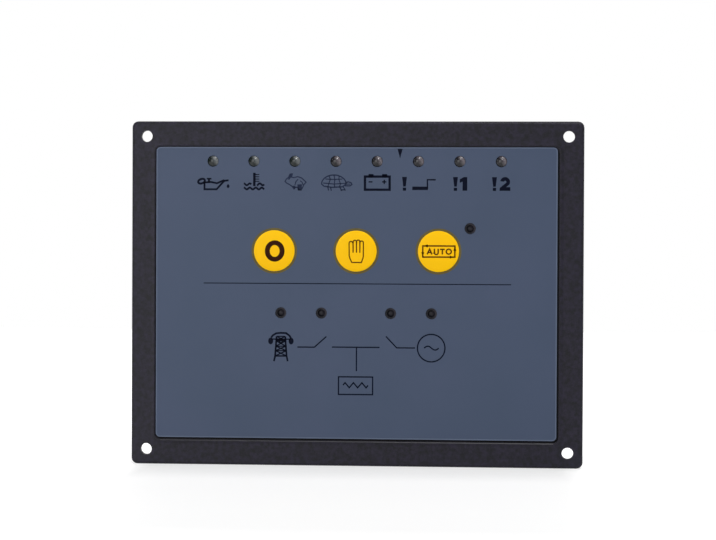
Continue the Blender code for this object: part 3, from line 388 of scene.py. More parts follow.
def ringPrism(bm, outer, inner, front, rear):
    # Solid between two outlines with the same number of points
    loops = [[bm.verts.new((x * mm, y * mm, z * mm)) for x, z in line]
             for y in (front, rear) for line in (outer, inner)]
    count = len(outer)
    for i in range(count):
        j = (i + 1) % count
        for a, b in ((0, 1), (1, 3), (3, 2), (2, 0)):
            bm.faces.new((loops[a][i], loops[b][i], loops[b][j], loops[a][j]))


def oval(x, z, halfX, halfZ, count=48):
    return [(x + halfX * math.cos(2 * math.pi * i / count),
             z + halfZ * math.sin(2 * math.pi * i / count)) for i in range(count)]


def circle(x, z, radius, count=48):
    return oval(x, z, radius, radius, count)


def arc(x, z, radius, first, last, count=10):
    # Points on part of a circle, angles in degrees from +X
    angles = [math.radians(first + (last - first) * i / count) for i in range(count + 1)]
    return [(x + radius * math.cos(a), z + radius * math.sin(a)) for a in angles]


def rounded(halfX, halfZ, radius, steps=6):
    # Rectangle about the middle, with round corners
    outline = []
    for cornerX, cornerZ, first in ((1, 1, 0), (-1, 1, 90), (-1, -1, 180), (1, -1, 270)):
        centre = (cornerX * (halfX - radius), cornerZ * (halfZ - radius))
        outline += arc(*centre, radius, first, first + 90, steps)
    return outline


def offsets(points, width, closed):
    # The two edges of a line of a given width, with mitred corners
    left, right = [], []
    count = len(points)
    for i, point in enumerate(points):
        here = Vector(point)
        before = Vector(points[i - 1]) if closed or i else None
        after = Vector(points[(i + 1) % count]) if closed or i < count - 1 else None
        ways = []
        if before is not None:
            ways.append((here - before).normalized())
        if after is not None:
            ways.append((after - here).normalized())
        sides = [Vector((-way.y, way.x)) for way in ways]
        side = sum(sides, Vector((0.0, 0.0))).normalized()
        reach = width / 2 / max(0.35, side.dot(sides[0]))  # the 0.35 keeps sharp corners short
        left.append(tuple(here + side * reach))
        right.append(tuple(here - side * reach))
    return left, right


class Print:
    # Ink shapes that stand 0.02 mm off one plane and reach a little into it

    def __init__(self, plane, rise=-0.02):
        self.bm = bmesh.new()
        self.front, self.rear = plane + rise, plane - rise / 4

    def line(self, points, width, closed=False):
        left, right = offsets(points, width, closed)
        if closed:
            ringPrism(self.bm, left, right, self.front, self.rear)
        else:
            prism(self.bm, left + right[::-1], self.front, self.rear)

    def area(self, points):
        prism(self.bm, points, self.front, self.rear)

    def ring(self, outer, inner):
        ringPrism(self.bm, outer, inner, self.front, self.rear)

    def piece(self, name, material):
        return meshPiece(name, self.bm, [material])


# Facia film, with a round window for each lamp and an opening at each key

# Each lamp has its name, its x and z, and the y of its tip. Each key has its name and x
lamps = [(name, face["warningFirst"] + i * face["warningStep"], face["warningRow"], face["proudTip"])
         for i, name in enumerate(("oil_pressure", "coolant_temperature", "overspeed", "underspeed",
                                   "charge_failure", "start_failure", "warning_one", "warning_two"))]
lamps.append(("auto_mode", *face["autoLamp"], face["setBackTip"]))
lamps += [(name, x, face["supplyRow"], face["setBackTip"])
          for name, x in zip(("mains_available", "mains_on_load", "generator_on_load", "generator_available"),
                             face["supplyPlaces"])]
keys = [(name, (i - 1) * face["keyPitch"]) for i, name in enumerate(("stop", "manual", "auto"))]


def flatSheet(name, outlines, front, rear, edge, material):
    # Sheet with holes: the first outline is its border, the others are openings
    data = bpy.data.curves.new(name, "CURVE")
    data.dimensions = "2D"
    data.fill_mode = "BOTH"
    data.extrude = (rear - front) / 2 * mm - edge * mm
    data.bevel_depth = edge * mm
    data.bevel_resolution = 1
    data.offset = -edge * mm
    for outline in outlines:
        spline = data.splines.new("POLY")
        spline.points.add(len(outline) - 1)
        spline.use_cyclic_u = True
        for point, (x, z) in zip(spline.points, outline):
            point.co = (x * mm, z * mm, 0.0, 1.0)
    shape = bpy.data.objects.new(name + "_curve", data)
    bpy.context.scene.collection.objects.link(shape)
    bpy.context.view_layer.update()
    mesh = bpy.data.meshes.new_from_object(shape.evaluated_get(bpy.context.evaluated_depsgraph_get()))
    bpy.data.objects.remove(shape)
    bpy.data.curves.remove(data)
    bm = bmesh.new()
    bm.from_mesh(mesh)
    bpy.data.meshes.remove(mesh)
    middle = (front + rear) / 2 * mm
    for vert in bm.verts:
        vert.co = Vector((vert.co.x, middle - vert.co.z, vert.co.y))
    return meshPiece(name, bm, [material], smooth=15)


filmSettings = {
    "windowRadius": 2.22,
    "edge": 0.06,
    "keyJoint": 0.02,
    "shift": (-0.28, 0.28),  # the film lies a little to the upper left in its recess
    "paleEdge": (0.05, 0.5),
}


def filmBorder(inset, shift):
    outline = rounded(face["filmHalfX"] - inset, face["filmHalfZ"] - inset, face["filmCorner"] - inset)
    return [(x + shift[0], z + shift[1]) for x, z in outline]


outlines = [filmBorder(0.0, filmSettings["shift"])]
outlines += [circle(x, z, filmSettings["windowRadius"]) for _, x, z, _ in lamps]
outlines += [circle(x, face["keyRow"], face["keyRadius"] + filmSettings["keyJoint"], 96) for _, x in keys]
film = flatSheet(
    "film_sheet", outlines, face["filmFront"], face["filmRear"], filmSettings["edge"], finish["film"])
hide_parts("facia_film")

# Painted highlight: pale ring round the border of the film
paleEdge = Print(face["filmFront"])
paleEdge.ring(*[filmBorder(inset, filmSettings["shift"]) for inset in filmSettings["paleEdge"]])
paleEdge.piece("film_border_painted_highlight", finish["filmEdge"])

# Painted shade: a black ring for the film's adhesive, shifted so that it fills the shaded groove at the right
# of the film and below it
adhesive = {"shift": (0.3, -0.3), "width": 1.5, "front": -4.22, "rear": -4.02}
bm = bmesh.new()
borders = [filmBorder(inset, adhesive["shift"]) for inset in (0.0, adhesive["width"])]
ringPrism(bm, *borders, adhesive["front"], adhesive["rear"])
meshPiece("film_adhesive", bm, [finish["adhesive"]])

# Low bead round the recess. Below the film its inner side looks up and catches the light, and there it also
# carries a painted highlight in the glossier copy of the bezel plastic.
lip = {"inner": 0.06, "crest": 0.38, "outer": 1.6, "height": 0.16, "sink": 0.004, "corner": 2.1}
bm = bmesh.new()
loops = []
for reach, y in ((lip["inner"], lip["sink"]), (lip["crest"], -lip["height"]), (lip["outer"], lip["sink"])):
    outline = rounded(face["recessHalfX"] + reach, face["recessHalfZ"] + reach, lip["corner"] + reach)
    loops.append([bm.verts.new((x * mm, (face["front"] + y) * mm, z * mm)) for x, z in outline])
for i in range(len(loops[0])):
    j = (i + 1) % len(loops[0])
    alongBottom = max(loops[0][i].co.z, loops[0][j].co.z) < -(face["recessHalfZ"] + lip["inner"] / 2) * mm
    for first, second in ((0, 1), (1, 2), (2, 0)):
        side = bm.faces.new((loops[first][i], loops[first][j], loops[second][j], loops[second][i]))
        side.material_index = 1 if alongBottom and (first, second) == (0, 1) else 0
meshPiece("recess_lip", bm, [finish["bezel"], finish["bezelRubbed"]], smooth=15)
report("film")


# Keys: yellow pads formed in the film. On the real controller they flatten as the plunger behind them goes
# in; here they are drawn raised.

keySettings = {
    "segments": 96,
    "keep": 0.615,  # share of the pad's thickness that is left when the key is pressed
    "flatRadius": 7.4,
    "slopeRings": (0.25, 0.5),
    "inkRadius": 8.14,
    "dome": 0.03,
    "backStep": 0.9,
    # The olive line round each key is painted shade at the foot of the pad
    "shadeRing": (0.03, 0.72),  # from the key's edge to both edges of the olive line round it
}


def turned(bm, x, z, profile, segments, materialIndex=0):
    # Surface turned about a line along Y through (x, z). The profile is (radius, y) points
    rings = []
    for radius, y in profile:
        if radius < 1e-6:
            rings.append([bm.verts.new((x * mm, y * mm, z * mm))])
        else:
            rings.append([bm.verts.new((px * mm, y * mm, pz * mm))
                          for px, pz in circle(x, z, radius, segments)])
    for first, second in zip(rings, rings[1:]):
        for i in range(segments):
            j = (i + 1) % segments
            if len(first) == 1:
                made = bm.faces.new((first[0], second[i], second[j]))
            elif len(second) == 1:
                made = bm.faces.new((first[i], second[0], first[j]))
            else:
                made = bm.faces.new((first[i], second[i], second[j], first[j]))
            made.material_index = materialIndex


def flatten(piece):
    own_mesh(piece)


def keyPad(name, x):
    front, rise = face["filmFront"], face["keyRise"]
    outer, flat = face["keyRadius"], keySettings["flatRadius"]
    top = front - rise
    soft = top + keySettings["dome"]
    # The dome falls by a quarter at half its radius, and the slope after it is soft at both ends
    profile = [(0.0, top), (flat * 0.5, top + keySettings["dome"] * 0.25), (flat, soft)]
    for radius in (*[flat + ring for ring in keySettings["slopeRings"]], keySettings["inkRadius"]):
        t = (radius - flat) / (outer - flat)
        profile.append((radius, soft + (rise - keySettings["dome"]) * t * t * (3 - 2 * t)))
    # The rim at the foot of the pad takes the olive painted shade
    rim = [profile[-1], (outer, front), (outer, face["filmRear"])]
    hollow = face["filmRear"] - rise
    back = [rim[-1], (outer - keySettings["backStep"], hollow), (0.0, hollow)]
    bm = bmesh.new()
    for part, index in ((profile, 0), (rim, 1), (back, 0)):
        turned(bm, x, face["keyRow"], part, keySettings["segments"], index)
    pad = meshPiece(f"{name}_key_pad", bm, [finish["keyYellow"], finish["inkOlive"]], smooth=50)
    flatten(pad)


for name, x in keys:
    keyPad(name, x)

keyTop = face["filmFront"] - face["keyRise"]

# Stop key: a bold ring, a little taller than it is wide
stopRing = {"centre": (-32.5, 16.9), "outer": (3.95, 4.25), "inner": (1.95, 2.35)}
symbol = Print(keyTop)
symbol.ring(*[oval(*stopRing["centre"], *stopRing[edge], 64) for edge in ("outer", "inner")])
ringPiece = symbol.piece("stop_key_symbol", finish["inkBlack"])
flatten(ringPiece)

# Manual key: the outline of an open hand, with three lines between the fingers
handStrokes = {"outline": 0.48, "between": 0.5}
fingers = [(-2.75, 15.2), (-2.8, 20.1)]
for x, z, radius, first, last in ((-2.05, 20.15, 0.72, 180, 20), (-0.5, 20.65, 0.66, 160, 20),
                                  (0.85, 20.75, 0.66, 160, 20), (2.2, 20.35, 0.68, 160, 0)):
    fingers += arc(x, z, radius, first, last, 6)
fingers += [(2.9, 15.0), (2.75, 14.2), (2.1, 12.5), (-1.7, 12.5), (-2.4, 14.0)]
hand = Print(keyTop)
hand.line(fingers, handStrokes["outline"], closed=True)
for x in (-1.2, 0.15, 1.5):
    hand.line([(x, 16.4), (x, 20.75)], handStrokes["between"])
handPiece = hand.piece("manual_key_symbol", finish["inkBrown"])
flatten(handPiece)

# Auto key: lettering in a frame whose corners carry arrowheads
autoKey = {
    "stroke": 0.58,
    "frame": ((26.5, 14.8), (39.2, 14.8), (39.2, 19.2), (26.5, 19.2)),
    "letters": (15.85, 18.1),  # their foot and their top
    "arrow": ((0.9, 0.0), (-0.55, 0.62), (-0.55, -0.62)),
    # Where each arrowhead stands, and the way it points in degrees
    "corners": (((27.9, 19.2), 180), ((39.2, 17.9), 90), ((37.8, 14.8), 0), ((26.5, 16.1), 270)),
}
low, high = autoKey["letters"]
stroke = autoKey["stroke"]
auto = Print(keyTop)
auto.line(autoKey["frame"], stroke, closed=True)
for (x, z), way in autoKey["corners"]:
    turn = math.radians(way)
    auto.area([(x + a * math.cos(turn) - b * math.sin(turn), z + a * math.sin(turn) + b * math.cos(turn))
               for a, b in autoKey["arrow"]])
auto.line([(28.25, low), (29.2, high - 0.15), (30.15, low)], stroke)
auto.line([(28.55, low + 0.75), (29.85, low + 0.75)], stroke)
bowl = arc(31.85, low + 0.7, 0.75, 180, 360, 8)
auto.line([(31.1, high), (31.1, low + 0.7)] + bowl + [(32.6, high)], stroke)
auto.line([(33.3, high - 0.25), (35.2, high - 0.25)], stroke)
auto.line([(34.25, high), (34.25, low)], stroke)
auto.ring(oval(36.8, 16.97, 1.28, 1.25), oval(36.8, 16.97, 0.7, 0.68))
autoPiece = auto.piece("auto_key_symbol", finish["inkBrown"])
flatten(autoPiece)
report("keys")


# Print on the film. Each line has its points and its width

sign = Print(face["filmFront"])
faint = Print(face["filmFront"])
keyShadeRing = Print(face["filmFront"])

# Pointer between the fifth and sixth lamps, and the line under the keys
sign.area([(16.3, 57.6), (18.3, 57.6), (17.3, 53.8)])
sign.line([(-61.0, 4.0), (61.5, 4.0)], 0.36)

# The olive painted shade goes on round each key, on the film, at the foot of the pad
for _, x in keys:
    inner, outer = [circle(x, face["keyRow"], face["keyRadius"] + reach, 96) for reach in keySettings["shadeRing"]]
    keyShadeRing.ring(outer, inner)

# Oil can with a handle, a knob, a long spout and a drop
sign.line([(-60.8, 44.3), (-60.8, 41.4), (-55.9, 41.4), (-53.5, 44.1), (-52.7, 44.8), (-51.1, 45.0)], 0.76)
sign.line([(-60.8, 44.1), (-58.2, 44.3), (-55.8, 43.8), (-52.8, 45.1)], 0.76)
handle = [(x * 0.88 - z * 0.3 - 62.0, x * 0.3 + z * 0.88 + 44.6) for x, z in oval(0, 0, 1.5, 0.95, 20)]
sign.line(handle, 0.85, closed=True)
sign.line([(-59.9, 45.6), (-58.0, 45.6)], 0.6)
sign.line([(-59.0, 44.2), (-59.0, 45.6)], 0.8)
sign.area([(-51.3, 43.6), (-50.8, 42.9)] + arc(-51.3, 42.5, 0.58, 20, -200, 8) + [(-51.8, 42.9)])

# Thermometer over two rows of waves
sign.line([(-40.8, 42.7), (-40.8, 48.0)], 1.0)
for z in (44.6, 45.5, 46.4, 47.3):
    sign.line([(-40.8, z), (-38.8, z)], 0.36)
# Each wave has its ends, its height and the share of a wave that it starts with
waveSettings = {"height": 0.38, "length": 2.4, "stroke": 0.76, "stepsPerMm": 4}
for first, last, z, phase in (
        (-45.0, -42.0, 43.4, 0.0), (-39.8, -36.8, 43.4, 0.5), (-45.0, -36.8, 41.75, 0.0)):
    count = int((last - first) * waveSettings["stepsPerMm"])
    wave = []
    for i in range(count + 1):
        along = (last - first) * i / count
        turn = 2 * math.pi * (along / waveSettings["length"] + phase)
        wave.append((first + along, z + waveSettings["height"] * math.cos(turn)))
    sign.line(wave, waveSettings["stroke"])

# Running hare, drawn in thin strokes
hare = [
    (-28.5, 44.6), (-27.9, 45.6), (-27.1, 46.2), (-26.5, 47.5), (-25.6, 47.6), (-25.9, 46.3), (-25.0, 46.1),
    (-23.4, 46.5), (-21.9, 46.0), (-20.8, 45.0), (-20.1, 44.3), (-20.9, 43.4), (-21.4, 42.4), (-22.0, 41.2),
    (-23.1, 41.2), (-23.4, 42.3), (-24.4, 42.2), (-24.9, 41.6), (-25.6, 42.6), (-26.8, 43.4), (-27.8, 43.9),
]
faint.line(hare, 0.46, closed=True)
faint.area([(-27.5, 45.4), (-26.9, 46.1), (-26.4, 47.3), (-25.9, 47.3), (-26.2, 46.1), (-26.7, 45.3)])
faint.area([(-23.6, 43.4), (-21.7, 43.5), (-21.8, 42.2), (-22.2, 41.1), (-23.2, 41.1), (-23.4, 42.2)])
faint.area([(-25.2, 43.0), (-24.2, 42.6), (-24.6, 41.8), (-25.3, 42.4)])
faint.line([(-23.3, 45.5), (-24.2, 44.4), (-24.6, 43.0)], 0.42)
faint.line([(-22.5, 44.9), (-21.6, 44.2), (-21.3, 43.2)], 0.40)

# Tortoise with a plated shell, its head to the right. The shell is the upper half of an oval
shell = oval(-9.0, 43.6, 4.9, 3.6, 32)[:17]
faint.line(shell + [(-12.9, 42.7), (-9.6, 42.3), (-5.6, 42.5)], 0.50, closed=True)
for points in ([(-13.3, 44.0), (-9.0, 43.6), (-4.3, 43.9)], [(-12.4, 45.6), (-9.0, 45.4), (-5.6, 45.6)],
               [(-11.0, 46.9), (-10.4, 45.5), (-11.0, 43.8), (-11.4, 42.5)],
               [(-9.0, 47.2), (-8.6, 45.4), (-8.8, 43.6), (-8.6, 42.3)],
               [(-6.9, 46.9), (-7.0, 45.5), (-6.4, 43.7), (-6.7, 42.4)]):
    faint.line(points, 0.40)
# Head and legs
faint.line([(-4.3, 44.2), (-3.2, 44.5), (-2.1, 44.1), (-1.8, 43.4), (-2.6, 42.9), (-4.6, 42.9)], 0.48)
faint.line([(-4.2, 43.6), (-2.4, 43.6)], 0.36)
for x, z in ((-11.4, 42.5), (-10.3, 42.4), (-6.6, 42.4), (-5.2, 42.5)):
    faint.line([(x, z), (x + (0.3 if x < -9 else 0.8), z - 1.5)], 0.46)
faint.line([(-6.4, 41.2), (-4.4, 41.4)], 0.46)

# Battery with two poles, a minus and a plus
sign.line([(3.4, 41.4), (13.2, 41.4), (13.2, 46.6), (3.4, 46.6)], 0.95, closed=True)
sign.area([(4.8, 46.6), (6.8, 46.6), (6.8, 47.6), (4.8, 47.6)])
sign.area([(10.2, 46.6), (12.2, 46.6), (12.2, 47.6), (10.2, 47.6)])
sign.line([(4.8, 44.5), (6.4, 44.5)], 0.5)
sign.line([(10.2, 44.5), (11.9, 44.5)], 0.5)
sign.line([(11.05, 43.65), (11.05, 45.35)], 0.5)

# Exclamation marks
for x in (19.1, 39.3, 54.7):
    sign.area([(x - 0.95, 46.5), (x + 0.95, 46.5), (x + 0.5, 42.7), (x - 0.5, 42.7)])
    sign.area([(x - 0.65, 42.25), (x + 0.65, 42.25), (x + 0.65, 41.05), (x - 0.65, 41.05)])

# Step of the failed start
sign.line([(22.2, 42.0), (28.4, 42.0)], 1.35)
sign.line([(28.2, 41.9), (28.2, 45.4), (31.5, 45.4)], 0.55)

# Numerals
one = [(42.1, 41.1), (43.95, 41.1), (43.95, 46.5), (42.6, 46.5), (41.0, 45.6), (41.0, 44.2), (42.1, 44.7)]
two = arc(58.9, 44.6, 1.95, 170, -30, 14)
two += [(59.3, 42.55), (60.95, 42.55), (60.95, 41.1), (56.7, 41.1), (56.8, 42.2), (58.6, 43.7)]
two += arc(58.9, 44.6, 0.5, -40, 170, 10)
sign.area(one)
sign.area(two)

# Pylon: a lattice mast with arms that droop to two insulators
sign.line([(-33.8, -17.6), (-33.1, -16.7), (-31.8, -15.9), (-30.0, -15.7), (-27.8, -15.8), (-26.5, -16.8),
           (-25.9, -17.7)], 0.75)
sign.line([(-33.8, -18.2), (-25.9, -18.2)], 0.5)
for x in (-34.0, -25.8):
    sign.area(oval(x, -18.95, 1.0, 1.35, 20))
mast = [(-1.75, -17.1), (-1.85, -18.9), (-2.0, -21.0), (-2.15, -22.8), (-2.3, -24.9), (-2.75, -27.0)]
mastX = -29.9
for side in (-1, 1):
    sign.line([(mastX - side * x, z) for x, z in mast], 0.72)
for (wide, first), (wider, last) in zip(mast, mast[1:-1]):
    for side in (-1, 1):
        sign.line([(mastX + side * wide, first), (mastX - side * wider, last)], 0.5)
for wide, z in mast[:-1]:
    sign.line([(mastX + wide, z), (mastX - wide, z)], 0.62 if z < -24 else 0.46)
sign.ring(circle(mastX, -19.0, 0.85, 20), circle(mastX, -19.0, 0.35, 20))

# Single-line diagram: two open switches, the bus, the line to the load, the generator and the load
for points in ([(-23.3, -21.3), (-16.5, -21.3), (-11.7, -17.0)],
               [(12.0, -16.8), (16.3, -21.3), (23.6, -21.3)],
               [(-9.5, -21.2), (9.5, -21.2)],
               [(0.3, -21.2), (0.3, -30.7)]):
    sign.line(points, 0.5)
sign.ring(circle(30.0, -21.3, 5.72), circle(30.0, -21.3, 5.2))
tilde = [(27.2 + 5.8 * i / 20, -21.3 + 0.75 * math.sin(2 * math.pi * i / 20)) for i in range(21)]
sign.line(tilde, 0.52)
sign.line([(-6.8, -40.0), (6.8, -40.0), (6.8, -33.0), (-6.8, -33.0)], 0.52, closed=True)
zigzag = [(-4.2 + 1.68 * i, -36.3 + (-1.0) ** i) for i in range(6)]
sign.line([(-5.0, -36.3)] + zigzag + [(5.0, -36.3)], 0.52)

signPiece = sign.piece("film_print", finish["ink"])
faint.piece("film_print_faint", finish["inkFaint"])
keyShadeRing.piece("film_key_painted_shade", finish["inkOlive"])
report("print")


# Lamps: domed lenses with a rim, two leads, and a reflector cup and post cast inside

lampSettings = {
    "segments": 40,
    "height": 8.6,
    "rimHeight": 1.0,
    "rimRadius": 2.9,
    "domeRings": 9,
    "greenUpTo": -20.0,  # x to which the warning lamps have the green cast
    "lead": 0.3,
    "leadSpacing": 2.54,
    "leadStart": 0.02,
    "leadEnd": 7.9,
    # Collar that carries the dome out to the edge of its window, as (radius, y) points
    "proudCollar": ((1.55, -4.68), (1.85, -4.56), (2.05, -4.43), (2.19, -4.30), (2.19, -4.20), (1.98, -4.20),
                    (1.55, -4.68)),
    "setBackCollar": ((1.45, -4.24), (2.60, -4.24), (2.60, -4.06), (1.45, -4.06), (1.45, -4.24)),
    # Reflector cup and its post, and the chip in the cup, as (radius, y behind the cup's plane) points
    "cupDepth": 4.2,
    "cup": ((0.0, 0.55), (0.35, 0.5), (0.9, 0.0), (1.05, 0.0), (1.0, 1.2), (0.45, 1.6)),
    "postEnd": 0.2,
    "chip": ((0.0, 0.35), (0.22, 0.35), (0.22, 0.54), (0.0, 0.54)),
}


def lampLens(name, x, z, tip, base):
    settings = lampSettings
    radius, proud = face["lampRadius"], tip < face["filmFront"]
    lens = ("lensGreen" if x < settings["greenUpTo"] else "lensSmoke") if proud else "lensDark"
    profile = []
    for i in range(settings["domeRings"] + 1):
        angle = math.radians(90 * i / settings["domeRings"])
        profile.append((radius * math.sin(angle), tip + radius * (1 - math.cos(angle))))
    rim = base - settings["rimHeight"]
    profile += [(radius, rim), (settings["rimRadius"], rim), (settings["rimRadius"], base), (0.0, base)]
    bm = bmesh.new()
    turned(bm, x, z, profile, settings["segments"])
    turned(bm, x, z, settings["proudCollar" if proud else "setBackCollar"], settings["segments"])
    lamp = meshPiece(f"{name}_lens", bm, [finish[lens]], smooth=40)
    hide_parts(f"{name}_lamp")


def lampLeads(name, x, z, tip, base):
    settings = lampSettings
    plane = tip + settings["cupDepth"]
    cup = [(radius, plane + y) for radius, y in settings["cup"]]
    postEnd = base - settings["postEnd"]
    bm = bmesh.new()
    turned(bm, x, z, cup + [(cup[-1][0], postEnd), (0.0, postEnd)], 20)
    turned(bm, x, z, [(radius, plane + y) for radius, y in settings["chip"]], 4, 1)
    lead = settings["lead"]
    for side in (-1, 1):
        at = x + side * settings["leadSpacing"] / 2
        square = [(at + a * lead, z + b * lead) for a, b in ((-1, -1), (1, -1), (1, 1), (-1, 1))]
        prism(bm, square, base + settings["leadStart"], settings["leadEnd"])
    meshPiece(f"{name}_leads", bm, [finish["steel"], finish["keyYellow"]])


for name, x, z, tip in lamps:
    base = tip + lampSettings["height"]
    lampLens(name, x, z, tip, base)
    lampLeads(name, x, z, tip, base)
report("lamps")


# Rear: plated sleeves on the header pins, and spring contacts in the data socket

# Each header has its name, pitch, number of ways, left end, middle height and the side of its rib
headers = [
    ("sensing", 7.62, 6, -58.0, 44.5, 1),
    ("load", 7.62, 4, 24.52, 44.5, 1),
    ("control", 5.08, 13, -58.0, -44.5, -1),
]
pinSettings = {
    "half": 0.53,
    "tip": 0.28,
    "chamfer": 0.5,
    "floor": 28.9,
    "end": 35.43,
    "inset": 1.5,  # from the header's left end to the first way
    "offset": 1.1,  # from the header's middle height, away from its rib
}


def pinSleeve(bm, x, z):
    half, tip, end = pinSettings["half"], pinSettings["tip"], pinSettings["end"]
    rings = []
    for size, y in ((half, pinSettings["floor"]), (half, end - pinSettings["chamfer"]), (tip, end)):
        rings.append([bm.verts.new(((x + a * size) * mm, y * mm, (z + b * size) * mm))
                      for a, b in ((-1, -1), (1, -1), (1, 1), (-1, 1))])
    for first, second in zip(rings, rings[1:]):
        for i in range(4):
            bm.faces.new((first[i], first[(i + 1) % 4], second[(i + 1) % 4], second[i]))
    bm.faces.new(rings[-1])


for name, pitch, ways, left, z, farSide in headers:
    bm = bmesh.new()
    for i in range(ways):
        pinSleeve(bm, left + pinSettings["inset"] + pitch * (i + 0.5), z - farSide * pinSettings["offset"])
    pins = meshPiece(f"{name}_pins", bm, [finish["steel"]])

contactSettings = {
    "ways": 6,
    "pitch": 1.27,
    "middle": 50.1,
    "half": 0.25,
    "height": (4.1, 4.6),
    "depth": (30.3, 36.4),
}
bm = bmesh.new()
for i in range(contactSettings["ways"]):
    x = contactSettings["middle"] + (i - (contactSettings["ways"] - 1) / 2) * contactSettings["pitch"]
    left, right = x - contactSettings["half"], x + contactSettings["half"]
    low, high = contactSettings["height"]
    prism(bm, [(left, low), (right, low), (right, high), (left, high)], *contactSettings["depth"])
contacts = meshPiece("data_contacts", bm, [finish["gold"]])

# Terminal numbers printed beside the headers, from strokes on a cell 1 wide and 2 high
digits = {
    "0": [[(0.0, 0.35), (0.3, 0.0), (0.7, 0.0), (1.0, 0.35), (1.0, 1.65), (0.7, 2.0), (0.3, 2.0), (0.0, 1.65),
           (0.0, 0.35)]],
    "1": [[(0.1, 1.55), (0.55, 2.0), (0.55, 0.0)]],
    "2": [[(0.0, 1.6), (0.3, 2.0), (0.75, 2.0), (1.0, 1.6), (0.95, 1.2), (0.0, 0.0), (1.0, 0.0)]],
    "3": [[(0.0, 2.0), (1.0, 2.0), (0.45, 1.2), (0.8, 1.1), (1.0, 0.75), (0.9, 0.2), (0.5, 0.0), (0.0, 0.2)]],
    "4": [[(0.75, 0.0), (0.75, 2.0), (0.0, 0.6), (1.05, 0.6)]],
    "5": [[(0.95, 2.0), (0.1, 2.0), (0.05, 1.15), (0.6, 1.25), (1.0, 0.85), (0.95, 0.25), (0.55, 0.0),
           (0.0, 0.15)]],
    "6": [[(0.8, 2.0), (0.2, 1.2), (0.0, 0.6), (0.2, 0.1), (0.7, 0.0), (1.0, 0.5), (0.8, 1.05), (0.25, 1.1)]],
    "7": [[(0.0, 2.0), (1.0, 2.0), (0.35, 0.0)]],
    "8": [[(0.5, 1.1), (0.1, 1.5), (0.5, 2.0), (0.9, 1.5), (0.5, 1.1)],
          [(0.5, 1.1), (0.0, 0.55), (0.5, 0.0), (1.0, 0.55), (0.5, 1.1)]],
    "9": [[(0.2, 0.0), (0.8, 0.8), (1.0, 1.4), (0.75, 2.0), (0.3, 2.0), (0.0, 1.5), (0.2, 1.0), (0.75, 0.9)]],
}
numberSettings = {"size": 0.95, "stroke": 0.3, "step": 1.45, "gap": 1.3, "plane": 37.2, "rise": 0.02}

# Ink on the rear stands out towards +Y
numbers = Print(numberSettings["plane"], numberSettings["rise"])
count = 0
for name, pitch, ways, left, z, farSide in headers:
    low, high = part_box(f"{name}_header")
    size, step, gap = numberSettings["size"], numberSettings["step"], numberSettings["gap"]
    base = low[2] / mm - gap - 2 * size if farSide > 0 else high[2] / mm + gap
    for i in range(ways):
        count += 1
        label = str(count)
        # The cover is read from behind, so a number runs towards -X
        start = left + pinSettings["inset"] + pitch * (i + 0.5) + (size + step * (len(label) - 1)) / 2
        for place, character in enumerate(label):
            right = start - step * place
            for points in digits[character]:
                stroke = [(right - x * size, base + z * size) for x, z in points]
                numbers.line(stroke, numberSettings["stroke"])
numbers.piece("terminal_numbers", finish["inkWhite"])
report("rear details")


# Floor, light and camera

# Lengths in metres here
studio = {
    "floor": ((-1.1, 1.1), (-1.1, 1.3)),  # left and right, then near and far
    "board": "#b4b4b4",
    # What the floor gives to the eye by itself: values at distances in front of the face,
    # then to the side of the middle and behind the face, each from no glow at one place to a value at another
    # The glow is lower near the object than away from it, which paints shade round the object; the front
    # values shape that painted shade
    "floorFront": ((0.03, 0.46), (0.06, 0.52), (0.09, 0.50), (0.20, 0.45), (0.40, 0.85)),
    "floorSide": (0.060, 0.100, 0.85),
    "floorBack": (-0.005, 0.05, 0.85),
    # Light of the room before and behind the object, and where along +Y the one goes over into the other
    "worldFront": 0.12,
    "worldBack": 0.42,
    "worldTurn": (-0.1, 0.5),
    # Place, side of the square and power in watts. All look at one point
    "aim": (0.0, 0.0, 0.0),
    "softboxes": {
        "key_softbox": ((0.36, -0.65, 1.02), 0.42, 7.0),
        "left_panel": ((-0.50, -0.98, 0.18), 0.9, 7.3),
        "right_panel": ((1.40, -0.90, 0.60), 0.9, 3.0),
        "back_softbox": ((0.0, 0.0, 1.35), 1.0, 8.0),
    },
}


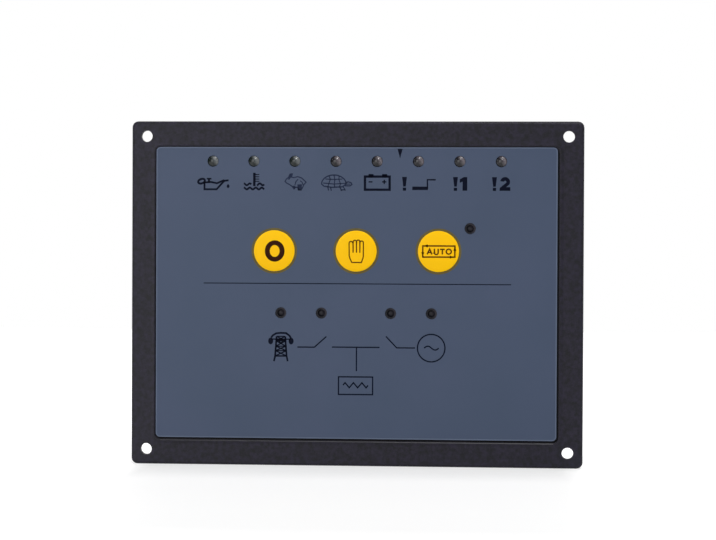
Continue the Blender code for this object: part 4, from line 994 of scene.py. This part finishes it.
def makeFloor():
    bm = bmesh.new()
    (left, right), (near, far) = studio["floor"]
    corners = ((left, near), (right, near), (right, far), (left, far))
    bm.faces.new([bm.verts.new((x, y, face["floor"] * mm)) for x, y in corners])
    mesh = bpy.data.meshes.new("studio_floor")
    bm.to_mesh(mesh)
    bm.free()
    floor = bpy.data.objects.new("studio_floor", mesh)
    bpy.context.scene.collection.objects.link(floor)
    # Matt white board. Away from the object its glow takes it over into the white background; nearer the
    # object the glow is lower, which is painted shade round the object.
    material, tree, shader = newMaterial(
        "studio_board_matt_white", Roughness=0.6, Base_Color=rgb(studio["board"]),
        Emission_Color=rgb("#ffffff"))
    path = addNode(tree, "LightPath").outputs
    seen = addNode(tree, "Math", {0: path["Is Camera Ray"], 1: path["Is Glossy Ray"]}, operation="MAXIMUM")
    seen = addNode(tree, "Math", {0: seen.outputs[0], 1: path["Is Transmission Ray"]}, operation="MAXIMUM")
    split = addNode(tree, "SeparateXYZ", {"Vector": addNode(tree, "TexCoord").outputs["Object"]}).outputs
    stops = studio["floorFront"]
    reach = stops[-1][0]
    ahead = addNode(tree, "Math", {0: split["Y"], 1: -1.0 / reach}, operation="MULTIPLY")
    ramp = addNode(tree, "ValToRGB", {"Fac": ahead.outputs[0]})
    while len(ramp.color_ramp.elements) < len(stops):
        ramp.color_ramp.elements.new(0.5)
    for element, (distance, value) in zip(ramp.color_ramp.elements, stops):
        element.position, element.color = distance / reach, (value, value, value, 1.0)
    aside = addNode(tree, "Math", {0: split["X"]}, operation="ABSOLUTE").outputs[0]
    glow = ramp.outputs["Color"]
    for value, (near, far, white) in ((aside, studio["floorSide"]), (split["Y"], studio["floorBack"])):
        step = addNode(tree, "MapRange", {
            "Value": value, "From Min": near, "From Max": far, "To Min": 0.0, "To Max": white})
        glow = addNode(tree, "Math", {0: glow, 1: step.outputs["Result"]}, operation="MAXIMUM").outputs[0]
    strength = addNode(tree, "Math", {0: seen.outputs[0], 1: glow}, operation="MULTIPLY")
    tree.links.new(strength.outputs[0], shader.inputs["Emission Strength"])
    mesh.materials.append(material)


def makeWorld():
    world = bpy.data.worlds.new("studio")
    world.use_nodes = True
    bpy.context.scene.world = world
    tree = world.node_tree
    background = tree.nodes["Background"]
    path = addNode(tree, "LightPath").outputs
    # Behind the object the room is white for metal and glass too. In front of it the room is dim.
    way = addNode(tree, "SeparateXYZ", {"Vector": addNode(tree, "TexCoord").outputs["Generated"]})
    near, far = studio["worldTurn"]
    behind = addNode(tree, "MapRange", {"Value": way.outputs["Y"], "From Min": near, "From Max": far})
    mirror = addNode(tree, "Math", {
        0: path["Is Glossy Ray"], 1: path["Is Transmission Ray"]}, operation="MAXIMUM")
    mirror = addNode(tree, "Math", {0: mirror.outputs[0], 1: behind.outputs["Result"]}, operation="MULTIPLY")
    seen = addNode(tree, "Math", {0: mirror.outputs[0], 1: path["Is Camera Ray"]}, operation="MAXIMUM")
    room = addNode(tree, "MapRange", {"Value": behind.outputs["Result"],
                                      "To Min": studio["worldFront"], "To Max": studio["worldBack"]})
    level = addNode(tree, "MapRange", {
        "Value": seen.outputs[0], "To Min": room.outputs["Result"], "To Max": 1.0})
    background.inputs["Color"].default_value = (1.0, 1.0, 1.0, 1.0)
    tree.links.new(level.outputs["Result"], background.inputs["Strength"])


def softbox(name, place, side, power):
    light = bpy.data.lights.new(name, "AREA")
    light.shape = "RECTANGLE"
    light.size = light.size_y = side
    light.energy = power
    lamp = bpy.data.objects.new(name, light)
    lamp.location = place
    lamp.rotation_euler = (Vector(studio["aim"]) - Vector(place)).to_track_quat("-Z", "Y").to_euler()
    bpy.context.scene.collection.objects.link(lamp)


# Long lens a little right of the face's normal and above its middle, with a slight lean. Angles in degrees
cameraSettings = {
    "sensor": 36.0,
    "lens": 115.14,
    "clipStart": 0.01,
    "place": (0.07078, -0.91129, 0.02283),
    "angles": (89.1605, -0.2541, 4.4193),
}


def makeCamera():
    data = bpy.data.cameras.new("camera")
    data.sensor_width = cameraSettings["sensor"]
    data.lens = cameraSettings["lens"]
    data.clip_start = cameraSettings["clipStart"]
    camera = bpy.data.objects.new("camera", data)
    camera.location = cameraSettings["place"]
    camera.rotation_euler = Euler([math.radians(angle) for angle in cameraSettings["angles"]], "XYZ")
    bpy.context.scene.collection.objects.link(camera)
    bpy.context.scene.camera = camera


makeFloor()
makeWorld()
for name, (place, side, power) in studio["softboxes"].items():
    softbox(name, place, side, power)
makeCamera()
bpy.context.scene.view_settings.view_transform = "Standard"
report("studio")
